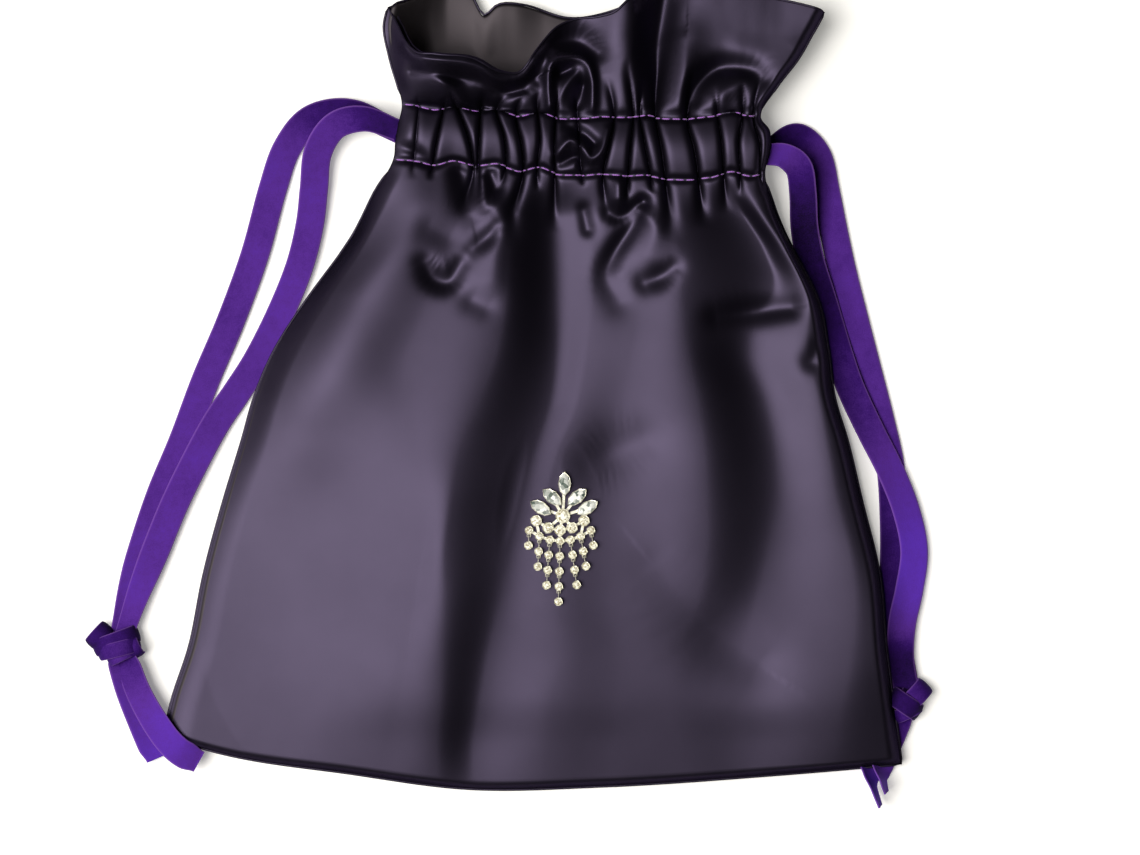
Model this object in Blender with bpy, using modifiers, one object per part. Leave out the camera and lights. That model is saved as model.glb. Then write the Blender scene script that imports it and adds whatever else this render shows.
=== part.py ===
"""Drawstring gift pouch: a lined satin pouch lying on its back, two velvet ribbons and a rhinestone brooch.

Run with  blender --background --python part.py  or from Blender's text editor.
The frame: origin on the resting face under the body, +X to the right seen from the front, +Y from the
bottom seam towards the mouth, +Z out of the front. The dimensions below are in millimetres, and every
length is multiplied by MM where it becomes a coordinate.
"""

import math

import bmesh
import bpy
import numpy as np
from mathutils import Matrix, Vector

MM = 0.001

# ---- cloth -------------------------------------------------------------------------------------------
SATIN = 0.8  # thickness of the outer cloth
LINING = 0.6  # thickness of the lining cloth
LAYER_GAP = 1.6  # between the middles of the outer cloth and the lining
CASING_GAP = 2.35  # the same inside the casing, where the ribbons run
SEAM_Z = 4.0  # height of the side and bottom seams
SEAM_HALF = 0.55  # half the distance between front and back at a seam
CREST = 9.45  # rise of the front above the seam
PILLOW = 45.0  # how far in from a seam the front reaches its full height
TURN_UP = 12.0  # how far in from a seam the back leaves the floor
CASING_BOTTOM, CASING_TOP = 99.0, 121.0  # the two rows of stitching
MOUTH_CREST = 19.0
# How far the lining keeps clear of the sides, up the pouch: the ribbons bend round its edges in the casing
LINING_INSET = ((78.0, 0.0), (93.0, 7.0), (127.0, 7.0), (140.0, 0.0))

# Stations along the pouch: (y, left edge, right edge, rise of the front, how open the side is, back height)
STATIONS = (
    (-101.0, -119.0, 120.0, 7.0, 0.0, 0.4),
    (-60.0, -116.5, 116.0, CREST, 0.0, 0.4),
    (-10.0, -104.5, 107.0, CREST, 0.0, 0.4),
    (25.0, -95.5, 98.5, CREST, 0.0, 0.4),
    (55.0, -79.5, 93.0, CREST, 0.0, 0.4),
    (78.0, -62.5, 82.5, CREST, 0.0, 0.4),
    (93.0, -51.0, 78.0, CREST, 0.0, 1.3),
    (98.0, -48.0, 78.5, CREST, 1.0, 1.3),
    (110.0, -47.0, 80.0, CREST, 1.0, 1.3),
    (122.0, -45.0, 75.5, CREST, 1.0, 1.3),
    (127.0, -46.5, 79.0, CREST, 0.0, 1.3),
    (140.0, -50.5, 87.0, 13.5, 0.0, 1.3),
    (158.0, -51.0, 94.0, MOUTH_CREST, 0.0, 1.3),
)
ROW_PITCH = 17.0  # longest step between rows of the cloth mesh
COLUMNS = 16
# Shares of the width at which the columns lie, closer together near the side seams
COLUMN_SHARES = [0.5 - 0.5 * math.cos(math.pi * column / COLUMNS) for column in range(COLUMNS + 1)]
# The bottom seam sags between the corners: (x, y), in order
HEM = ((-121.0, -89.0), (-112.0, -93.0), (-25.0, -106.0), (78.0, -102.0), (121.0, -98.5))
HEM_FADE = 70.0  # the sag dies out this far above the bottom
CORNER = (116.0, -92.0)  # this corner lies over the tails of the right ribbon
CORNER_LIFT, CORNER_REACH = 3.0, 11.0

# ---- ribbons -----------------------------------------------------------------------------------------
RIBBON_WIDTH, RIBBON_THICK = 9.2, 0.9
FRONT_RUN_Z = SEAM_Z + SEAM_HALF + CREST - CASING_GAP / 2
BACK_RUN_Z = 1.3 + CASING_GAP / 2
# A ribbon's run in the casing: height of its middle, then x where it comes out and x where it bends back
LEFT_RUN = (114.9, -47.0, 71.0)
RIGHT_RUN = (105.1, 80.0, -38.5)
BEND_STEP = 15  # degrees between points round the return bend
CURVE_STEPS = 3  # mesh steps between two path points

# Strands from the casing's end to the knot, and tails from the knot: (x, y, z) along the middle
LEFT_INNER = (
    (-60.0, 117.5, 11.5), (-69.5, 114.0, 8.0), (-74.5, 105.0, 4.8), (-76.0, 94.0, 2.8),
    (-77.0, 82.0, 1.5), (-80.5, 68.0, 0.9), (-87.0, 52.0, 0.65), (-94.5, 37.0, 0.65),
    (-101.5, 26.0, 0.9), (-108.5, 15.5, 1.7), (-115.5, 2.5, 1.9), (-122.5, -12.0, 1.9),
    (-129.0, -28.0, 2.0), (-134.5, -42.0, 2.3), (-138.5, -55.0, 2.8),
)
LEFT_OUTER = (
    (-62.0, 118.5, 2.2), (-77.0, 116.0, 1.6), (-85.5, 107.0, 1.0), (-90.0, 94.0, 0.7),
    (-95.5, 72.0, 0.6), (-103.5, 50.0, 0.6), (-112.0, 30.0, 0.6), (-119.5, 10.0, 0.6),
    (-127.0, -8.0, 0.6), (-133.0, -26.0, 0.7), (-137.5, -42.0, 0.9), (-140.0, -55.0, 1.4),
)
LEFT_TAILS = (
    ((-141.0, -60.0, 1.4), (-137.5, -73.0, 0.7), (-132.5, -86.0, 0.6), (-128.0, -96.5, 0.6)),
    (
        (-139.0, -60.0, 2.8), (-133.5, -75.0, 2.0), (-126.5, -86.5, 1.8), (-120.0, -93.5, 1.8),
        (-111.5, -97.5, 1.8),
    ),
)
LEFT_KNOT = ((-141.5, -58.0, 4.2), (9.6, 6.4, 4.1), -16.0)  # centre, half sizes, turn in degrees
RIGHT_INNER = (
    (87.0, 105.0, 11.9), (92.0, 99.5, 9.0), (92.5, 90.0, 5.8), (91.5, 80.0, 3.4),
    (93.0, 69.0, 2.1), (96.3, 58.0, 1.9), (99.2, 48.0, 1.9), (101.5, 38.0, 1.9),
    (104.5, 27.0, 1.9), (110.5, 13.0, 1.9), (117.0, 0.0, 1.9), (122.5, -13.5, 1.9),
    (126.0, -27.0, 1.9), (125.0, -40.0, 1.9), (122.0, -51.5, 1.9), (122.0, -63.0, 2.0),
    (124.5, -75.0, 2.6),
)
RIGHT_OUTER = (
    (87.0, 109.0, 2.2), (94.0, 110.5, 1.5), (98.5, 103.0, 0.9), (99.5, 90.0, 0.6),
    (102.5, 69.0, 0.6), (107.0, 51.0, 0.6), (111.0, 34.0, 0.6), (115.0, 16.0, 0.6),
    (118.0, 0.0, 0.6), (119.0, -20.0, 0.6), (119.0, -40.0, 0.6), (120.5, -58.0, 0.7),
    (124.5, -73.0, 1.2),
)
RIGHT_TAILS = (
    ((125.0, -79.0, 1.3), (119.5, -91.0, 0.7), (115.5, -102.0, 0.6), (113.5, -112.0, 0.6)),
    ((125.0, -77.0, 2.6), (120.5, -88.0, 2.0), (118.0, -98.0, 1.9), (117.0, -107.5, 1.9)),
)
RIGHT_KNOT = ((125.5, -77.0, 4.0), (6.0, 7.6, 3.9), 0.0)

# ---- casing stitching --------------------------------------------------------------------------------
THREAD_RADIUS = 0.25
THREAD_CLEARANCE = 0.3
THREAD_OVERHANG, THREAD_BULGE = 0.8, 2.5  # how the loop passes the sides of the casing

# ---- brooch ------------------------------------------------------------------------------------------
BROOCH = (7.6, -15.0)  # middle of the round centre stone
BROOCH_Z = SEAM_Z + SEAM_HALF + CREST + SATIN / 2 + 0.3
STONE_GAP = 0.1  # between a stone and its cup
CUP_WALL, CUP_HEIGHT, CUP_FLOOR = 0.25, 1.2, 0.25
TABLE_Z, GIRDLE_Z, CULET_Z = 1.65, 1.1, 0.4  # heights on a stone above the brooch's back
CLAW_RISE, CLAW_LEAN = 0.45, 0.12
CENTRE_STONE = 2.1
UPPER_STONE = 1.6
CHAIN_STONE = 1.15
NAVETTE_LENGTH, NAVETTE_WIDTH = 7.6, 3.7
# Navette stones: (name, x, y, turn from upright in degrees), from the centre stone
NAVETTES = (
    ("top", 0.6, 10.6, 0.0),
    ("upper_left", -3.5, 6.2, 50.0),
    ("upper_right", 4.7, 6.2, -50.0),
    ("lower_left", -7.3, 2.7, 58.0),
    ("lower_right", 8.1, 2.7, -58.0),
)
ARC_MIDDLE = -0.9  # both arcs of round stones hang evenly about this x
UPPER_ARC = (5, 3.95, -4.7, 0.050)  # stones, spacing, lowest y, rise per squared distance
LOWER_ARC = (7, 3.4, -8.3, 0.034)
# The fringe: (stones, lean in degrees) for each strand, left to right
FRINGE = ((1, -3.0), (2, -3.0), (3, -4.0), (4, -1.5), (3, 8.0), (2, 10.0), (1, 9.0))
LINK_PITCH = 5.0
WIRE = 0.14
STAPLE_REACH = 2.15  # from a cup's middle to the bar the next cup hangs on
STAPLE_HALF = 0.55
WIRE_Z = 0.75
EYE_RADIUS = 0.45
LEG_START = 1.3  # where a wire leaves its cup's wall, from the cup's middle
STRUT, STRUT_THICK = 0.9, 0.16  # the bars that join the settings, inside the thickness of the cups' floors
STRUT_STEP = 0.003


# ---- scene helpers -----------------------------------------------------------------------------------
def clear_scene():
    for obj in list(bpy.data.objects):
        bpy.data.objects.remove(obj, do_unlink=True)


def new_collection(name):
    collection = bpy.data.collections.new(name)
    bpy.context.scene.collection.children.link(collection)
    return collection


def new_material(name, colour, roughness, metallic=0.0):
    material = bpy.data.materials.new(name)
    material.use_nodes = True
    shader = material.node_tree.nodes["Principled BSDF"]
    shader.inputs["Base Color"].default_value = (*colour, 1.0)
    shader.inputs["Roughness"].default_value = roughness
    shader.inputs["Metallic"].default_value = metallic
    return material


def new_object(name, data, material, collection):
    obj = bpy.data.objects.new(name, data)
    data.materials.clear()
    data.materials.append(material)
    collection.objects.link(obj)
    return obj


def mesh_from(bm, name):
    mesh = bpy.data.meshes.new(name)
    bm.to_mesh(mesh)
    bm.free()
    return mesh


def hide_as_cutter(obj):
    obj.hide_render = True
    obj.display_type = "WIRE"


def add_union(obj, others, solver="EXACT"):
    """Joins the hidden helper objects into obj with one Boolean each."""
    for other in others:
        hide_as_cutter(other)
        union = obj.modifiers.new("union_" + other.name, "BOOLEAN")
        union.operation = "UNION"
        union.solver = solver
        union.object = other


def baked(obj, name):
    """The evaluated mesh of obj as a new mesh in obj's own space."""
    graph = bpy.context.evaluated_depsgraph_get()
    mesh = bpy.data.meshes.new_from_object(obj.evaluated_get(graph))
    mesh.name = name
    return mesh


def wire_mesh(name, points, radius, material, collection, sides=0, cyclic=False, scale=MM):
    """A wire through the points, given in millimetres, as a mesh with welded caps."""
    curve = bpy.data.curves.new(name, "CURVE")
    curve.dimensions = "3D"
    curve.bevel_depth = radius * scale
    curve.bevel_resolution = sides
    curve.use_fill_caps = True
    spline = curve.splines.new("POLY")
    spline.points.add(len(points) - 1)
    for spot, point in zip(spline.points, points):
        spot.co = (*(Vector(point) * scale), 1.0)
    spline.use_cyclic_u = cyclic
    source = new_object(name + "_curve", curve, material, collection)
    bm = bmesh.new()
    bm.from_mesh(baked(source, name))
    bmesh.ops.remove_doubles(bm, verts=bm.verts, dist=0.001 * scale)
    bmesh.ops.recalc_face_normals(bm, faces=bm.faces)
    bpy.data.objects.remove(source)
    return new_object(name, mesh_from(bm, name), material, collection)


# ---- cloth shape -------------------------------------------------------------------------------------
def station(column, y):
    return float(np.interp(y, [row[0] for row in STATIONS], [row[column] for row in STATIONS]))


def hem_y(x):
    return float(np.interp(x, [point[0] for point in HEM], [point[1] for point in HEM]))


def seam_distance(x, y, row):
    """Distance in from the nearest closed seam, for a point of the mesh row at height row."""
    return max(0.0, min(x - station(1, row), station(2, row) - x, y - hem_y(x)))


def corner_lift(x, y):
    spread = ((x - CORNER[0]) ** 2 + (y - CORNER[1]) ** 2) / (2 * CORNER_REACH**2)
    return CORNER_LIFT * math.exp(-spread)


def cloth_point(x, row, front):
    """A point on the middle of the outer cloth. row is the height up the pouch before the hem's sag."""
    fade = max(0.0, 1.0 - (row - STATIONS[0][0]) / HEM_FADE) ** 2
    y = row + (hem_y(x) - STATIONS[0][0]) * fade
    inward = seam_distance(x, y, row)
    openness = station(4, row)
    if front:
        near = max(0.0, 1.0 - inward / PILLOW)
        fullness = max(openness, math.sqrt(1.0 - near**2))
        z = SEAM_Z + SEAM_HALF + station(3, row) * fullness
    else:
        near = max(0.0, 1.0 - inward / TURN_UP) * (1.0 - openness)
        floor = station(5, row)
        z = floor + (SEAM_Z - SEAM_HALF - floor) * near**1.6
    return Vector((x, y, z + corner_lift(x, y)))


def mesh_rows():
    """Row heights: every station, and even steps between them, with extra rows close to the bottom seam."""
    rows = [STATIONS[0][0] + step for step in (0.0, 2.5, 7.0, 15.0, 27.0)]
    for low, high in zip(STATIONS[1:], STATIONS[2:]):
        steps = math.ceil((high[0] - low[0]) / ROW_PITCH)
        rows += [low[0] + (high[0] - low[0]) * step / steps for step in range(steps)]
    return rows + [STATIONS[-1][0]]


def row_x(row, share):
    return station(1, row) + (station(2, row) - station(1, row)) * share


def cloth_grid(front):
    return [[cloth_point(row_x(row, share), row, front) for share in COLUMN_SHARES] for row in mesh_rows()]


def lining_grid(front):
    """The lining's rows, inside the outer cloth and without its two outermost columns and rows."""
    lining = []
    for row in mesh_rows()[2:]:
        gap = LAYER_GAP + (CASING_GAP - LAYER_GAP) * station(4, row)
        inset = float(np.interp(row, *zip(*LINING_INSET)))
        line = []
        for share in COLUMN_SHARES[2:-2]:
            x = row_x(row, share) + inset * (1 - 2 * share)
            line.append(cloth_point(x, row, front) + Vector((0.0, 0.0, -gap if front else gap)))
        lining.append(line)
    return lining


def cloth_panel(name, grid, thickness, front, material, collection):
    """An open sheet through the grid, thickened evenly to both sides."""
    bm = bmesh.new()
    rows = [[bm.verts.new(point * MM) for point in line] for line in grid]
    for low, high in zip(rows, rows[1:]):
        for c in range(len(low) - 1):
            corners = (low[c], low[c + 1], high[c + 1], high[c])
            bm.faces.new(corners if front else corners[::-1])
    panel = new_object(name, mesh_from(bm, name), material, collection)
    shell = panel.modifiers.new("cloth_thickness", "SOLIDIFY")
    shell.thickness = thickness * MM
    shell.offset = 0.0
    panel.data.shade_smooth()
    return panel


def build_cloth(materials, collection):
    for side, front in (("front", True), ("back", False)):
        cloth_panel(side + "_panel", cloth_grid(front), SATIN, front, materials["satin"], collection)
        cloth_panel(side + "_lining", lining_grid(front), LINING, front, materials["lining"], collection)


def stitching_loop(name, row, materials, collection):
    """One row of stitching, laid as a closed thread round the outside of the casing."""
    away = SATIN / 2 + THREAD_CLEARANCE + THREAD_RADIUS
    left, right = station(1, row), station(2, row)
    top = cloth_point(0.0, row, True).z + away
    bottom = cloth_point(0.0, row, False).z - away
    middle, half = (top + bottom) / 2, (top - bottom) / 2
    points = []
    for end, side in ((right, 1), (left, -1)):
        for angle in range(-90, 91, 18):
            turn = math.radians(angle)
            x = end + side * (THREAD_OVERHANG + THREAD_BULGE * math.cos(turn))
            points.append((x, row, middle + side * half * math.sin(turn)))
    return wire_mesh(name, points, THREAD_RADIUS, materials["thread"], collection, sides=1, cyclic=True)


# ---- ribbons -----------------------------------------------------------------------------------------
def smooth_path(points, steps):
    """Catmull-Rom points through the given ones."""
    spots = [Vector(point) for point in points]
    spots = [2 * spots[0] - spots[1], *spots, 2 * spots[-1] - spots[-2]]
    path = []
    for a, b, c, d in zip(spots, spots[1:], spots[2:], spots[3:]):
        for step in range(steps):
            t = step / steps
            bend = (2 * a - 5 * b + 4 * c - d) * t**2 + (3 * b - a - 3 * c + d) * t**3
            path.append((2 * b + (c - a) * t + bend) / 2)
    return path + [spots[-2]]


def flat_widths(path, sign):
    """For each point, the level direction across a ribbon lying flat."""
    widths = []
    for n in range(len(path)):
        ahead = path[min(n + 1, len(path) - 1)] - path[max(n - 1, 0)]
        widths.append(sign * Vector((0, 0, 1)).cross(ahead).normalized())
    return widths


def ribbon_strip(name, path, widths, material, collection):
    bm = bmesh.new()
    half = RIBBON_WIDTH / 2
    edges = [
        (bm.verts.new((spot - across * half) * MM), bm.verts.new((spot + across * half) * MM))
        for spot, across in zip(path, widths)
    ]
    for (a, b), (c, d) in zip(edges, edges[1:]):
        bm.faces.new((a, c, d, b))
    strip = new_object(name, mesh_from(bm, name), material, collection)
    shell = strip.modifiers.new("ribbon_thickness", "SOLIDIFY")
    shell.thickness = RIBBON_THICK * MM
    shell.offset = 0.0
    return strip


def casing_run(lane, exit_x, bend_x):
    """The hidden part of a ribbon: along the front channel, round the far end and back behind."""
    middle, radius = (FRONT_RUN_Z + BACK_RUN_Z) / 2, (FRONT_RUN_Z - BACK_RUN_Z) / 2
    side = 1 if bend_x > exit_x else -1
    run = [Vector((exit_x, lane, FRONT_RUN_Z))]
    for angle in range(90, -91, -BEND_STEP):
        turn = math.radians(angle)
        spot = (bend_x + side * radius * math.cos(turn), lane, middle + radius * math.sin(turn))
        run.append(Vector(spot))
    return run + [Vector((exit_x, lane, BACK_RUN_Z))]


def build_ribbon(name, run_shape, strands, tails, knot, material, collections):
    """One ribbon: two strands, the run through the casing, the knot that ties its ends, and two tails."""
    parts, helpers = collections
    lane, exit_x, bend_x = run_shape
    front_strand, back_strand = strands
    run = casing_run(lane, exit_x, bend_x)
    coming = smooth_path([*reversed(front_strand), run[0]], CURVE_STEPS)[:-1]
    going = smooth_path([run[-1], *back_strand], CURVE_STEPS)[1:]
    side = 1 if bend_x > exit_x else -1
    widths = flat_widths(coming, 1) + [Vector((0, side, 0))] * len(run) + flat_widths(going, -1)
    ribbon = ribbon_strip(name, coming + run + going, widths, material, parts)
    pieces = []
    for n, tail in enumerate(tails):
        path = smooth_path(tail, CURVE_STEPS)
        pieces.append(ribbon_strip(f"{name}_tail_{n}", path, flat_widths(path, 1), material, helpers))
    centre, half_sizes, turn = knot
    bm = bmesh.new()
    bmesh.ops.create_uvsphere(bm, u_segments=14, v_segments=8, radius=1.0)
    lump = new_object(name + "_knot", mesh_from(bm, name + "_knot"), material, helpers)
    scale = Matrix.Diagonal((*half_sizes, 1.0))
    place = Matrix.Translation(centre) @ Matrix.Rotation(math.radians(turn), 4, "Z")
    lump.data.transform(Matrix.Scale(MM, 4) @ place @ scale)
    add_union(ribbon, [lump, *pieces])
    return ribbon


# ---- brooch ------------------------------------------------------------------------------------------
# Its meshes are in millimetres and its objects are scaled down, which keeps the Booleans exact.
def round_outline(radius, count):
    turns = [2 * math.pi * (n + 0.5) / count for n in range(count)]
    return [(radius * math.cos(turn), radius * math.sin(turn)) for turn in turns]


def navette_outline(length, width, steps=4):
    """A boat shape, pointed at both ends along Y, from two circle arcs."""
    a, b = length / 2, width / 2
    radius = (a * a + b * b) / (2 * b)
    reach = math.asin(a / radius)
    side = []
    for n in range(steps):
        turn = -reach + 2 * reach * n / steps
        side.append((radius * math.cos(turn) - (radius - b), radius * math.sin(turn)))
    return side + [(-x, -y) for x, y in side]


OUTLINES = {
    "centre": round_outline(CENTRE_STONE, 12),
    "upper": round_outline(UPPER_STONE, 8),
    "chain": round_outline(CHAIN_STONE, 8),
    "navette": navette_outline(NAVETTE_LENGTH, NAVETTE_WIDTH),
}
# Which corners of each outline carry a claw
CLAWS = {
    "centre": range(0, 12, 3),
    "upper": range(0, 8, 2),
    "chain": range(0, 8, 2),
    "navette": (0, 2, 4, 6),
}


def grown(outline, distance):
    """The outline pushed outwards by about that distance."""
    scales = [1 + distance / math.hypot(x, y) for x, y in outline]
    return [(x * scale, y * scale) for scale, (x, y) in zip(scales, outline)]


def setting_mesh(name, kind):
    """A cup for one stone: floor, thin wall, and claws at some corners of the rim."""
    outside = grown(OUTLINES[kind], STONE_GAP + CUP_WALL)
    inside = grown(OUTLINES[kind], STONE_GAP)
    bm = bmesh.new()
    rings = []
    for outline, z in ((outside, 0.0), (outside, CUP_HEIGHT), (inside, CUP_HEIGHT), (inside, CUP_FLOOR)):
        rings.append([bm.verts.new((x, y, z)) for x, y in outline])
    count = len(outside)
    bm.faces.new(rings[0][::-1])
    bm.faces.new(rings[3])
    for low, high in zip(rings, rings[1:]):
        for n in range(count):
            bm.faces.new((low[n], low[(n + 1) % count], high[(n + 1) % count], high[n]))
    for n in CLAWS[kind]:
        spot = rings[1][n].co
        inward = -Vector((spot.x, spot.y, 0.0)).normalized()
        spot += inward * CLAW_LEAN + Vector((0.0, 0.0, CLAW_RISE))
    return mesh_from(bm, name)


def stone_mesh(kind):
    """A cut stone: the hull of its table, girdle and culet outlines, set in its cup."""
    outline = OUTLINES[kind]
    halfway = [((a[0] + b[0]) / 2, (a[1] + b[1]) / 2) for a, b in zip(outline, outline[1:] + outline[:1])]
    bm = bmesh.new()
    for ring, share, z in ((halfway, 0.6, TABLE_Z), (outline, 1.0, GIRDLE_Z), (halfway, 0.35, CULET_Z)):
        for x, y in ring:
            bm.verts.new((x * share, y * share, z))
    bmesh.ops.convex_hull(bm, input=bm.verts)
    bmesh.ops.recalc_face_normals(bm, faces=bm.faces)
    return mesh_from(bm, kind + "_stone")


def at_brooch(x, y, z=0.0, turn=0.0):
    """Placement of a brooch piece, given in millimetres from the centre stone and degrees about Z."""
    place = Matrix.Translation(Vector((BROOCH[0] + x, BROOCH[1] + y, BROOCH_Z + z)) * MM)
    return place @ Matrix.Rotation(math.radians(turn), 4, "Z") @ Matrix.Scale(MM, 4)


def strut_object(number, start, end, material, collection):
    """A flat bar between two settings. Its own level and overrun keep its faces off the other bars'."""
    bm = bmesh.new()
    bmesh.ops.create_cube(bm, size=1.0)
    along = Vector(end) - Vector(start)
    middle = (Vector(end) + Vector(start)) / 2
    level = STRUT_STEP * (number + 1)
    length = along.length + 0.4 + 10 * level
    place = Matrix.Translation((middle.x, middle.y, level + STRUT_THICK / 2))
    turn = Matrix.Rotation(math.atan2(along.y, along.x), 4, "Z")
    bm.transform(place @ turn @ Matrix.Diagonal((length, STRUT, STRUT_THICK, 1.0)))
    return new_object(f"strut_{number}", mesh_from(bm, f"strut_{number}"), material, collection)


def arc_spots(arc):
    """Centres of an arc's stones, left to right."""
    count, spacing, lowest, rise = arc
    offsets = [spacing * (n - (count - 1) / 2) for n in range(count)]
    return [(ARC_MIDDLE + x, lowest + rise * x * x) for x in offsets]


def staple(name, lean, material, collection):
    """The wire under a cup: two legs and the bar that the next cup hangs on."""
    turn = Matrix.Rotation(math.radians(lean), 4, "Z")
    across = (-STAPLE_HALF, -STAPLE_HALF, STAPLE_HALF, STAPLE_HALF)
    down = (LEG_START, STAPLE_REACH, STAPLE_REACH, LEG_START)
    points = [turn @ Vector((x, -y, WIRE_Z)) for x, y in zip(across, down)]
    return wire_mesh(name, points, WIRE, material, collection, scale=1.0)


def fixed_stones():
    """Every stone of the brooch that doesn't swing: (name, kind, x, y, turn)."""
    stones = [("centre_stone", "centre", 0.0, 0.0, 0.0)]
    stones += [("navette_" + name, "navette", x, y, turn) for name, x, y, turn in NAVETTES]
    for label, kind, arc in (("upper", "upper", UPPER_ARC), ("lower", "chain", LOWER_ARC)):
        for n, (x, y) in enumerate(arc_spots(arc), 1):
            stones.append((f"{label}_arc_stone_{n}", kind, x, y, 0.0))
    return stones


def build_fixed_stones(material, collection):
    meshes = {kind: stone_mesh(kind) for kind in OUTLINES}
    for name, kind, x, y, turn in fixed_stones():
        new_object(name, meshes[kind], material, collection).matrix_world = at_brooch(x, y, 0.0, turn)


def strut_spans():
    """Pairs of points that the flat bars behind the settings join."""
    lower, upper = arc_spots(LOWER_ARC), arc_spots(UPPER_ARC)
    centre = (0.0, 0.0)
    spans = [(centre, (x, y)) for _, x, y, _ in NAVETTES]
    spans += [(centre, upper[n]) for n in (1, 2, 3)]
    spans += list(zip(upper, upper[1:])) + list(zip(lower, lower[1:]))
    return spans + [(upper[0], lower[1]), (upper[2], lower[3]), (upper[4], lower[5])]


def build_frame(material, collections):
    """The brooch's metal: every fixed setting, the struts behind them and the wires the fringe hangs on."""
    parts, helpers = collections
    pieces = []
    for name, kind, x, y, turn in fixed_stones()[1:]:
        cup = new_object(name + "_setting", setting_mesh(name + "_setting", kind), material, helpers)
        cup.matrix_world = at_brooch(x, y, 0.0, turn)
        pieces.append(cup)
    for n, (start, end) in enumerate(strut_spans()):
        strut = strut_object(n, start, end, material, helpers)
        strut.matrix_world = at_brooch(0.0, 0.0)
        pieces.append(strut)
    for n, ((x, y), (_, lean)) in enumerate(zip(arc_spots(LOWER_ARC), FRINGE)):
        wire = staple(f"frame_staple_{n}", lean, material, helpers)
        wire.matrix_world = at_brooch(x, y)
        pieces.append(wire)
    frame = new_object("brooch_frame", setting_mesh("brooch_frame", "centre"), material, parts)
    frame.matrix_world = at_brooch(0.0, 0.0)
    add_union(frame, pieces, "MANIFOLD")


def fringe_cup_mesh(name, has_staple, material, helpers):
    """One hanging cup: the setting, the eye above it and, unless it is the last, the staple below."""
    cup = new_object(name, setting_mesh(name, "chain"), material, helpers)
    eye_y = LINK_PITCH - STAPLE_REACH
    bpy.ops.mesh.primitive_torus_add(
        major_segments=10, minor_segments=5, major_radius=EYE_RADIUS, minor_radius=WIRE,
        location=(0.0, eye_y, WIRE_Z), rotation=(0.0, math.radians(90), 0.0),
    )
    eye = bpy.context.active_object
    eye.name = name + "_eye"
    stem_ends = ((0.0, LEG_START, WIRE_Z), (0.0, eye_y - EYE_RADIUS - WIRE / 3, WIRE_Z))
    pieces = [eye, wire_mesh(name + "_stem", stem_ends, WIRE * 0.9, material, helpers, scale=1.0)]
    if has_staple:
        pieces.append(staple(name + "_staple", 0.0, material, helpers))
    add_union(cup, pieces)
    mesh = baked(cup, name + "_joined")
    for helper in [cup, *pieces]:
        bpy.data.objects.remove(helper, do_unlink=True)
    return mesh


def build_fringe(materials, collections):
    """Seven hanging strands. Each cup's origin is on the bar it swings about."""
    parts, helpers = collections
    to_hinge = Matrix.Translation((0.0, STAPLE_REACH - LINK_PITCH, -WIRE_Z))
    middle_cup = fringe_cup_mesh("middle_cup", True, materials["silver"], helpers)
    last_cup = fringe_cup_mesh("last_cup", False, materials["silver"], helpers)
    gem = stone_mesh("chain")
    for mesh in (middle_cup, last_cup, gem):
        mesh.transform(to_hinge)
    for strand, ((x, y), (count, lean)) in enumerate(zip(arc_spots(LOWER_ARC), FRINGE), 1):
        turn = math.radians(lean)
        for link in range(count):
            reach = STAPLE_REACH + link * LINK_PITCH
            place = at_brooch(x + reach * math.sin(turn), y - reach * math.cos(turn), WIRE_Z, lean)
            label = f"{strand}_{link + 1}"
            cup_mesh = last_cup if link == count - 1 else middle_cup
            new_object("fringe_cup_" + label, cup_mesh, materials["silver"], parts).matrix_world = place
            new_object("fringe_stone_" + label, gem, materials["crystal"], parts).matrix_world = place


def main():
    clear_scene()
    parts = new_collection("drawstring_gift_pouch")
    helpers = new_collection("helpers")
    collections = (parts, helpers)
    materials = {
        "satin": new_material("plum_satin", (0.035, 0.022, 0.045), 0.35),
        "lining": new_material("plum_lining", (0.030, 0.024, 0.034), 0.55),
        "ribbon": new_material("violet_velvet", (0.085, 0.018, 0.30), 0.8),
        "thread": new_material("purple_thread", (0.35, 0.10, 0.48), 0.5),
        "silver": new_material("silver_setting", (0.78, 0.76, 0.70), 0.25, 1.0),
        "crystal": new_material("clear_rhinestone", (0.92, 0.92, 0.86), 0.05),
    }
    build_cloth(materials, parts)
    stitching_loop("upper_casing_stitching", CASING_TOP, materials, parts)
    stitching_loop("lower_casing_stitching", CASING_BOTTOM, materials, parts)
    left = (LEFT_RUN, (LEFT_INNER, LEFT_OUTER), LEFT_TAILS, LEFT_KNOT)
    right = (RIGHT_RUN, (RIGHT_INNER, RIGHT_OUTER), RIGHT_TAILS, RIGHT_KNOT)
    build_ribbon("left_drawstring", *left, materials["ribbon"], collections)
    build_ribbon("right_drawstring", *right, materials["ribbon"], collections)
    build_frame(materials["silver"], collections)
    build_fixed_stones(materials["crystal"], parts)
    build_fringe(materials, collections)


main()
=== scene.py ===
"""Looks of the drawstring gift pouch: gathered satin, velvet ribbons, stitching and a rhinestone brooch.

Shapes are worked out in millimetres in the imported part's frame and turned into metres when a mesh is made.
The cloth is one grid for each layer: s runs from the left seam (0) to the right seam (1), and t runs up the
pouch in millimetres, from the bottom seam to the mouth.
"""

import math

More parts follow.
